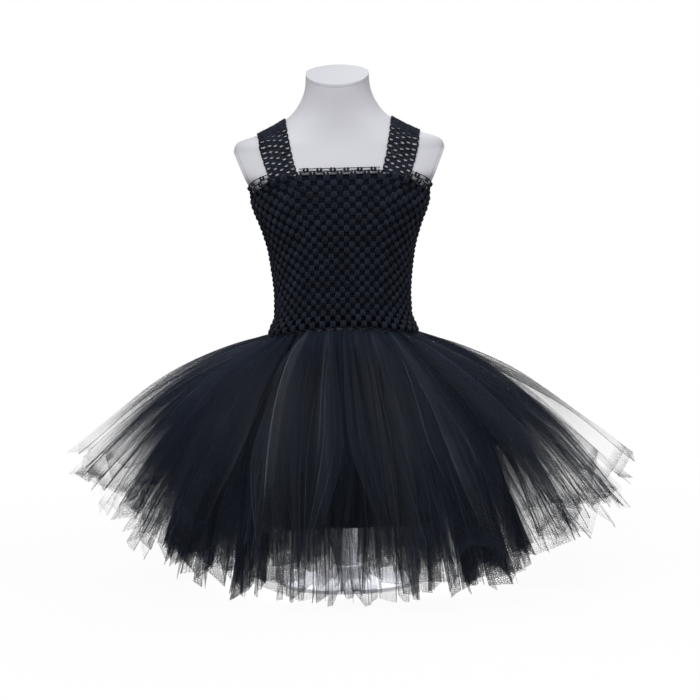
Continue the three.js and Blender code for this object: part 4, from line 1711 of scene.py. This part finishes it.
@dataclass
class TulleSkirt:
    """Strips of net folded in half over the waist seam, two layers each, in three tiers of 24."""

    strips: int = 24
    groups: int = 8
    cut_width: float = 150.0
    cut_length: float = 680.0
    lowest: float = 1.5
    seed: int = 11
    # A layer's rows, the width of its fold lines, and how far each tier is turned, in strips.
    rows: int = 26
    fold_width: float = 0.020
    stagger: float = 0.37
    # The fan: its half width at the knot, in strips, and at a reach, and how far its tip closes.
    knot_spread: float = 0.38
    fan_reach: float = 310.0
    fan_width: tuple[float, float] = (44.0, 66.0)
    tip_width: tuple[float, float] = (0.3, 1.0)
    tip_closing: float = 1.8
    uneven_place: float = 0.12
    uneven_way: float = 0.05
    warp: float = 0.07
    # Slopes, in degrees: how uneven they are, and how much lower the inner layer and the left side hang.
    uneven_slope: tuple[float, float] = (3.5, 4.5)
    calmer_sides: tuple[float, float] = (0.5, 0.4)
    inner_layer: tuple[float, float] = (5.0, 6.0)
    lower_left: tuple[float, float] = (1.5, 1.8)
    edge_droop: float = 5.0
    # Shares of the length: how uneven the strips are, how slanted and how jagged their ends.
    uneven_length: float = 0.018
    slant: float = 0.03
    jag: float = 0.065
    # The folds: their depth at the knot, how soon it is full, how far they hang below the fan, small ripples.
    knot_depth: float = 0.08
    full_depth: float = 0.22
    front_hang: float = 0.55
    side_hang: tuple[float, ...] = (1.0, 0.75, 0.5)
    ripple: float = 1.5
    layer_gap: float = 2.0
    # How much one layer covers, and how densely it is gathered near the waist and at its end.
    layer_cover: float = 0.085
    most_gathered: float = 3.6
    front_dense: float = 2.2
    front_sparse: float = 1.4
    side_dense: float = 2.0
    side_sparse: tuple[float, ...] = (0.30, 0.33, 1.70)
    right_share: tuple[float, ...] = (1.08, 2.1, 1.3)
    left_share: tuple[float, ...] = (0.74, 0.9, 1.0)
    end_fading: float = 0.30
    # Fold lines, in front and at the sides: the share of strong ones, and how much each kind covers.
    strong_share: tuple[float, float] = (0.6, 0.34)
    strong_cover: tuple[float, float] = (0.6, 0.98)
    faint_cover: tuple[float, float] = (0.2, 0.05)
    edge_cover: tuple[float, float] = (0.95, 0.85)
    rolled_end: float = 0.35

    @property
    def per_group(self) -> int:
        """How many strips one piece has."""
        return self.strips // self.groups

    def runs(self, slope: Array, length: Array, v: Array) -> tuple[Array, Array]:
        """How far out and down a strip has run at each v.

        Args:
            slope: slopes in radians, rows along the strip first.
            length: the strip's length at each place across.
            v: shares of the length.

        Returns:
            Distances out and down, of slope's shape.
        """
        step = np.diff(v)[:, None] * length
        middle = (slope[1:] + slope[:-1]) / 2
        zero = np.zeros((1, slope.shape[1]))
        out = np.concatenate([zero, np.cumsum(np.cos(middle) * step, axis=0)])
        down = np.concatenate([zero, np.cumsum(np.sin(middle) * step, axis=0)])
        return out, down

    def folds(self, main: Sequence[MainFold], rng: np.random.Generator) -> tuple[Array, Array, Array]:
        """Sets where a layer's folds lie across it, how strong each one's painted highlight is and how far
        down it reaches.

        Args:
            main: folds given a painted highlight, listed for this layer.
            rng: the skirt's random draws.

        Returns:
            The folds' places from -1 to 1, their paleness and their reach.
        """
        count = int(rng.integers(7, 11))
        steps = np.clip(rng.gamma(1.6, 1.0, count), 0.35, 3.2)
        places = np.concatenate([[0], np.cumsum(steps)]) / steps.sum() * 2 - 1
        shine = rng.uniform(0, 1, count + 1) ** 6 * 0.35
        reach = rng.uniform(0.4, 1.2, count + 1)
        for fold in main:
            nearest = int(np.argmin(np.abs(places[1:-1] - fold.across))) + 1
            shine[nearest], reach[nearest] = fold.shine, fold.reach
        return places, shine, reach

    def sheet(self, tier: Tier, tier_number: int, strip: int, layer: int, rng: np.random.Generator) -> Sheet:
        """One layer of a strip as a fan of uneven folds.

        Args:
            tier: the tier's sizes.
            tier_number: 0 for the top tier.
            strip: the strip's number round the waist.
            layer: 0 for the outer half of the folded strip.
            rng: the skirt's random draws.

        Returns:
            The layer.
        """
        main = [m for m in MAIN_FOLDS if m.strip == strip and tier_number + layer == 0]
        places, shine_at, reach_at = self.folds(main, rng)
        halves, near = (places[1:] + places[:-1]) / 2, self.fold_width
        u = np.sort(np.concatenate([places, places[:-1] + near, places[1:] - near, halves]))
        v = np.linspace(0, 1, self.rows) ** 1.2
        away = np.abs(u[:, None] - places[None, :])
        which, on_fold = away.argmin(axis=1), away.min(axis=1) < 1e-6

        middle, spread, angle = self.fan(tier_number, strip, layer, u, v, rng)
        at_side = float(smooth((abs(math.sin(middle)) - 0.25) / 0.55))
        lay = Lay(tier, tier_number, layer, middle, at_side, places, u, v, which, on_fold)
        slope = self.slopes(lay, angle, rng)
        length = self.lengths(lay, angle, rng)
        out, down = self.runs(slope, length, v)

        facing = np.stack([np.sin(angle), -np.cos(angle), np.zeros_like(angle)], axis=-1)
        root = WAIST.height(angle[0]) - tier.foot + 2.0 * (1 - smooth(v[:, None] * 12))
        points = FORM.point(angle, tier.band - 0.6 + 0.5 * layer, root) + facing * out[..., None]
        points[..., 2] = root - down
        upward = facing * np.sin(slope)[..., None] + np.array([0, 0, 1.0]) * np.cos(slope)[..., None]
        reach = np.hypot(points[..., 0], points[..., 1]).mean(axis=1)
        width = np.minimum(2 * spread * reach, self.cut_width * 0.96)
        points = points + upward * self.lifts(lay, width, rng)[..., None]

        cover = self.covers(lay, width, rng)
        # A painted highlight along the folds: full on each fold line, a third of it between them, fading
        # below each fold's reach and near the knot.
        fade = 1 - smooth((v[:, None] - reach_at[which][None, :]) / 0.15)
        painted_highlight = np.where(on_fold, shine_at[which], 0.3 * shine_at[which])
        shine = painted_highlight[None, :] * fade * smooth(v[:, None] * 18)
        across, along = (u * self.cut_width / 2)[None, :], v[:, None] * length[None, :]
        flat = np.stack(np.broadcast_arrays(across, along), axis=-1)
        return Sheet(points, upward, flat * MM + rng.uniform(0, 5, 2), cover, shine)

    def fan(
        self, number: int, strip: int, layer: int, u: Array, v: Array, rng: np.random.Generator,
    ) -> tuple[float, Array, Array]:
        """Spreads a layer from its knot.

        Args:
            number: the tier's number.
            strip: the strip's number round the waist.
            layer: 0 for the outer half of the folded strip.
            u: shares across.
            v: shares of the length.
            rng: the skirt's random draws.

        Returns:
            The angle of the layer's middle, its half spread down the strip, and the angle of every point.
        """
        pitch = TAU / self.strips
        middle = pitch * (strip + 0.5 + number * self.stagger) + rng.normal(0, self.uneven_place) * pitch
        middle += (layer - 0.5) * pitch * 0.5
        widest = rng.uniform(*self.fan_width) / self.fan_reach
        tip = rng.uniform(*self.tip_width) ** self.tip_closing
        opening = 1 - (1 - np.minimum(v / 0.8, 1)) ** (2.4 - 0.8 * layer)
        spread = blend(pitch * self.knot_spread, widest, opening) * blend(1, tip, smooth((v - 0.5) / 0.55))
        warp = self.warp * np.sin(4.3 * u[None, :] + rng.uniform(0, TAU))
        warp = warp * np.sin(2.6 * v[:, None] + rng.uniform(0, 1.5))
        turned = rng.normal(0, self.uneven_way) * v[:, None]
        return middle, spread, middle + turned + spread[:, None] * (u[None, :] + warp * v[:, None])

    def slopes(self, lay: Lay, angle: Array, rng: np.random.Generator) -> Array:
        """The slope of every point of a layer, which steepens from its root to its end.

        Args:
            lay: the layer.
            angle: the angle of every point.
            rng: the skirt's random draws.

        Returns:
            The slopes below level, in radians.
        """
        front = np.cos(angle) ** 2
        left = np.sin(angle) * (1 - front)
        tier = lay.tier
        sizes = ((tier.root_side, tier.root_front), (tier.end_side, tier.end_front))
        root, end = (
            blend(side, ahead, front) + self.lower_left[k] * left
            + rng.normal(0, self.uneven_slope[k]) * (1 - self.calmer_sides[k] * lay.at_side)
            + self.inner_layer[k] * lay.layer
            for k, (side, ahead) in enumerate(sizes)
        )
        end = end + self.edge_droop * lay.u[None, :] ** 2
        return np.radians(end - (end - root) * (1 - lay.v[:, None]) ** 2)

    def lengths(self, lay: Lay, angle: Array, rng: np.random.Generator) -> Array:
        """The length of a layer at each place across.

        Args:
            lay: the layer.
            angle: the angle of every point.
            rng: the skirt's random draws.

        Returns:
            The lengths.
        """
        tier, side = lay.tier, np.sin(angle[-1])
        lowered = WAIST.height(0.0) - WAIST.height(angle[0])
        length = tier.length - lowered - tier.trim * side**2 + tier.sway * side
        jag = np.interp(lay.u, lay.places, rng.uniform(-1, 1, len(lay.places)))
        uneven = 1 + rng.normal(0, self.uneven_length) + rng.normal(0, self.slant) * lay.u + self.jag * jag
        return length * uneven

    def lifts(self, lay: Lay, width: Array, rng: np.random.Generator) -> Array:
        """How far each point is folded up or down from the fan, so that the layer keeps its cut width.

        Args:
            lay: the layer.
            width: the fan's width down the strip.
            rng: the skirt's random draws.

        Returns:
            The distances.
        """
        u, v, places = lay.u, lay.v, lay.places
        up_down = np.where(np.arange(len(places) - 1) % 2 == 0, 1, -1)
        zigzag = np.concatenate([[0], np.cumsum(np.diff(places) / 2 * up_down)])
        zigzag = (zigzag - zigzag.mean()) * np.sign(rng.uniform(-1, 1))
        opened = blend(self.knot_depth, 1.0, smooth(v / self.full_depth))
        depth = np.sqrt(self.cut_width**2 - width**2) * opened
        ripple = np.sin(u[None, :] * 15 + v[:, None] * rng.uniform(5, 12) + rng.uniform(0, TAU))
        lift = depth[:, None] * np.interp(u, places, zigzag)[None, :]
        hang = blend(self.front_hang, self.side_hang[lay.number], lay.at_side)
        lift = lift - lift.max(axis=1, keepdims=True) * hang + self.ripple * smooth(v[:, None] * 1.5) * ripple
        return lift + (0.5 - lay.layer) * self.layer_gap

    def covers(self, lay: Lay, width: Array, rng: np.random.Generator) -> Array:
        """How much of the view each point covers: a thin film, darker fold lines and a rolled end.

        Args:
            lay: the layer.
            width: the fan's width down the strip.
            rng: the skirt's random draws.

        Returns:
            Shares from 0 to 1.
        """
        v, count, at_side = lay.v, len(lay.places) - 1, lay.at_side
        at_front = blend(self.front_dense, self.front_sparse, smooth((v - 0.55) / 0.3))
        at_edge = blend(self.side_dense, self.side_sparse[lay.number], smooth((v - 0.50) / 0.40))
        at_edge = at_edge * (self.left_share if math.sin(lay.middle) > 0 else self.right_share)[lay.number]
        gathered = np.minimum(self.cut_width / width, self.most_gathered) * blend(at_front, at_edge, at_side)
        panel = rng.uniform(blend(0.7, 0.2, at_side), blend(1.3, 2.0, at_side), count)
        facet = np.clip(np.searchsorted(lay.places, lay.u, side="right") - 1, 0, count - 1)
        film = 1 - (1 - self.layer_cover) ** (gathered[:, None] * panel[facet][None, :])
        film = film * (1 - self.end_fading * smooth((v[:, None] - 0.8) / 0.2))
        strong = rng.random(count + 1) < blend(*self.strong_share, at_side)
        dark = rng.uniform(*self.strong_cover, count + 1)
        strength = np.where(strong, dark, blend(*self.faint_cover, at_side))
        strength[[0, -1]] = blend(*self.edge_cover, at_side)
        fold = np.where(lay.on_fold, strength[lay.which], 0.0)
        rolled = rng.uniform(0.0, self.rolled_end) * (v > 0.999)
        crisp = blend(0.35, 1.0, np.maximum(at_side, smooth((v[:, None] - 0.55) / 0.25)))
        return 1 - (1 - film) * (1 - fold[None, :] * crisp) * (1 - rolled[:, None])

    def build(self, shop: Workshop) -> None:
        """Builds every group of three strips as one piece that stands for its solid.

        Args:
            shop: the trees and finishes.
        """
        rng = np.random.default_rng(self.seed)
        for number, tier in enumerate(TIERS):
            for group in range(self.groups):
                sheets = [
                    self.sheet(tier, number, strip, layer, rng)
                    for strip in range(group * self.per_group, (group + 1) * self.per_group)
                    for layer in (1, 0)
                ]
                self.piece(shop, tier, group, sheets)

    def piece(self, shop: Workshop, tier: Tier, group: int, sheets: Sequence[Sheet]) -> None:
        """Joins a group's layers into one mesh and dresses it.

        Args:
            shop: the trees and finishes.
            tier: the tier's sizes.
            group: the group's number.
            sheets: the layers.
        """
        faces, first = [], 0
        for made in sheets:
            rows, columns = made.points.shape[:2]
            faces.extend(grid_faces(rows, columns, False, first))
            first += rows * columns
        points = np.concatenate([m.points.reshape(-1, 3) for m in sheets])
        points[:, 2] = np.maximum(points[:, 2], self.lowest)
        obj = new_object(f"tulle_strips_{tier.name}_{group + 1}", points, faces)
        write_uv(obj, np.concatenate([m.uv.reshape(-1, 2) for m in sheets]))
        write_attribute(obj, "form", np.concatenate([m.form.reshape(-1, 3) for m in sheets]))
        write_attribute(obj, "cover", np.concatenate([m.cover.ravel() for m in sheets]))
        write_attribute(obj, "shine", np.concatenate([m.shine.ravel() for m in sheets]))
        dress(obj, shop.net, [f"tulle_{tier.name}_{group + 1}"])


# ---------------------------------------------------------------- the studio

class Lamp(NamedTuple):
    """A soft square lamp: its name, its place and size in metres and its power in watts."""

    name: str
    place: tuple[float, float, float]
    size: float
    power: float


LAMPS = (
    Lamp("key light", (-0.6, -1.7, 2.9), 1.2, 56),
    Lamp("fill light", (1.9, -1.8, 2.2), 1.6, 18),
    Lamp("rim light", (0.6, 2.2, 2.2), 1.4, 12),
)


@dataclass
class Studio:
    """A plain pale floor, soft lights and the camera."""

    centre_z: float = 318.6
    centre_x: float = 8.1
    distance: float = 5000.0
    elevation_degrees: float = 6.0
    frame_width: float = 945.0
    sensor: float = 36.0
    lean_degrees: float = 1.4
    lit_height: float = 0.33
    floor_radius: float = 9.0
    white_strength: float = 0.40
    under_power: float = 0.5
    under_lamps: int = 3
    under_reach: float = 0.06
    under_height: float = 0.125
    under_size: float = 0.012
    net_layers: int = 64

    def floor(self) -> None:
        """A wide round floor that fades into the white surroundings."""
        bpy.ops.mesh.primitive_circle_add(vertices=96, radius=self.floor_radius, fill_type="TRIFAN")
        floor = bpy.context.object
        floor.name = "floor"
        material, tree, shader = new_material("Studio floor, matt white paper")
        shader.inputs["Base Color"].default_value = linear("f4f4f5")
        shader.inputs["Roughness"].default_value = 0.9
        where = add_node(tree, "ShaderNodeTexCoord", "place on the floor").outputs["Object"]
        reach = add_node(tree, "ShaderNodeVectorMath", "distance", {0: where}, operation="LENGTH")
        fade = add_node(tree, "ShaderNodeMapRange", "fade outwards", {
            "Value": reach.outputs["Value"], "From Min": 0.35, "From Max": 1.3, "To Min": 0.93,
        }, interpolation_type="SMOOTHSTEP")
        seen = add_node(tree, "ShaderNodeLightPath", "what looks").outputs["Is Camera Ray"]
        soft = add_node(tree, "ShaderNodeMapRange", "softer light on the dress, brighter under it", {
            "Value": reach.outputs["Value"], "From Min": 0.2, "From Max": 0.45,
            "To Min": 1.3, "To Max": self.white_strength,
        }, interpolation_type="SMOOTHSTEP")
        glow = add_node(tree, "ShaderNodeMapRange", "white where it is seen", {
            "Value": seen, "To Min": soft.outputs["Result"], "To Max": 1.0,
        })
        white = add_node(tree, "ShaderNodeEmission", "white surroundings", {
            "Color": (1, 1, 1, 1), "Strength": glow.outputs["Result"],
        })
        mix = add_node(tree, "ShaderNodeMixShader", "floor into white", {
            0: fade.outputs["Result"], 1: shader.outputs[0], 2: white.outputs[0],
        })
        output = next(n for n in tree.nodes if n.type == "OUTPUT_MATERIAL")
        tree.links.new(mix.outputs[0], output.inputs["Surface"])
        floor.data.materials.append(material)

    def light(self, lamp: Lamp) -> None:
        """Sets up a lamp that faces the dress.

        Args:
            lamp: the lamp.
        """
        data = bpy.data.lights.new(lamp.name, "AREA")
        data.shape, data.size, data.energy = "SQUARE", lamp.size, lamp.power
        made = bpy.data.objects.new(lamp.name, data)
        bpy.context.scene.collection.objects.link(made)
        made.location = lamp.place
        way = Vector((0, 0, self.lit_height)) - Vector(lamp.place)
        made.rotation_euler = way.to_track_quat("-Z", "Y").to_euler()

    def under_lights(self) -> None:
        """Three small soft lamps inside the skirt, so that the stand's base isn't in the dark."""
        for k in range(self.under_lamps):
            turn, reach = TAU * (k + 0.5) / self.under_lamps, self.under_reach
            lamp = bpy.data.lights.new(f"under light {k + 1}", "POINT")
            lamp.energy, lamp.shadow_soft_size = self.under_power, self.under_size
            made = bpy.data.objects.new(lamp.name, lamp)
            bpy.context.scene.collection.objects.link(made)
            made.location = (reach * math.sin(turn), -reach * math.cos(turn), self.under_height)
            made.visible_camera = False

    def surroundings(self) -> None:
        """White surroundings that light the dress from all sides."""
        world = bpy.data.worlds.new("Studio white")
        bpy.context.scene.world = world
        world.use_nodes = True
        tree = world.node_tree
        back = next(n for n in tree.nodes if n.type == "BACKGROUND")
        back.inputs["Color"].default_value = (1, 1, 1, 1)
        seen = add_node(tree, "ShaderNodeLightPath", "what looks").outputs["Is Camera Ray"]
        strength = add_node(tree, "ShaderNodeMapRange", "white behind, softer light", {
            "Value": seen, "To Min": self.white_strength, "To Max": 1.0,
        })
        tree.links.new(strength.outputs["Result"], back.inputs["Strength"])

    def camera(self) -> None:
        """The camera, in front and a little above."""
        data = bpy.data.cameras.new("camera")
        made = bpy.data.objects.new("camera", data)
        bpy.context.scene.collection.objects.link(made)
        rise = math.radians(self.elevation_degrees)
        target = Vector((self.centre_x, 0, self.centre_z)) * MM
        back = Vector((0, -math.cos(rise), math.sin(rise)))
        made.location = target + back * self.distance * MM
        lean = Quaternion((0, 0, 1), -math.radians(self.lean_degrees))
        made.rotation_euler = ((-back).to_track_quat("-Z", "Y") @ lean).to_euler()
        data.sensor_width = self.sensor
        data.lens = self.sensor * self.distance / self.frame_width
        bpy.context.scene.camera = made

    def build(self) -> None:
        """Sets the whole studio."""
        self.camera()
        self.floor()
        self.surroundings()
        for lamp in LAMPS:
            self.light(lamp)
        self.under_lights()
        scene = bpy.context.scene
        scene.view_settings.view_transform = "Standard"
        # A line of sight meets dozens of layers of net, and with too few see-through steps it ends in black.
        scene.cycles.transparent_max_bounces = self.net_layers


# ---------------------------------------------------------------- the whole dress

def write_sizes() -> None:
    """Brings the scene's view layer up to date."""
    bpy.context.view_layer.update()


def main() -> None:
    """Builds the studio, the form and the dress in order."""
    logging.basicConfig(level=logging.INFO, format="%(message)s")
    Studio().build()
    shop = Workshop()
    DressForm().build(shop)
    bodice = Bodice()
    bodice.build(shop)
    for name, hand in (("left", 1), ("right", -1)):
        Strap(bodice).build(shop, name, hand)
    SkirtLining().build(shop)
    TulleSkirt().build(shop)
    write_sizes()
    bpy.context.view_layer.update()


if __name__ == "__main__":
    main()
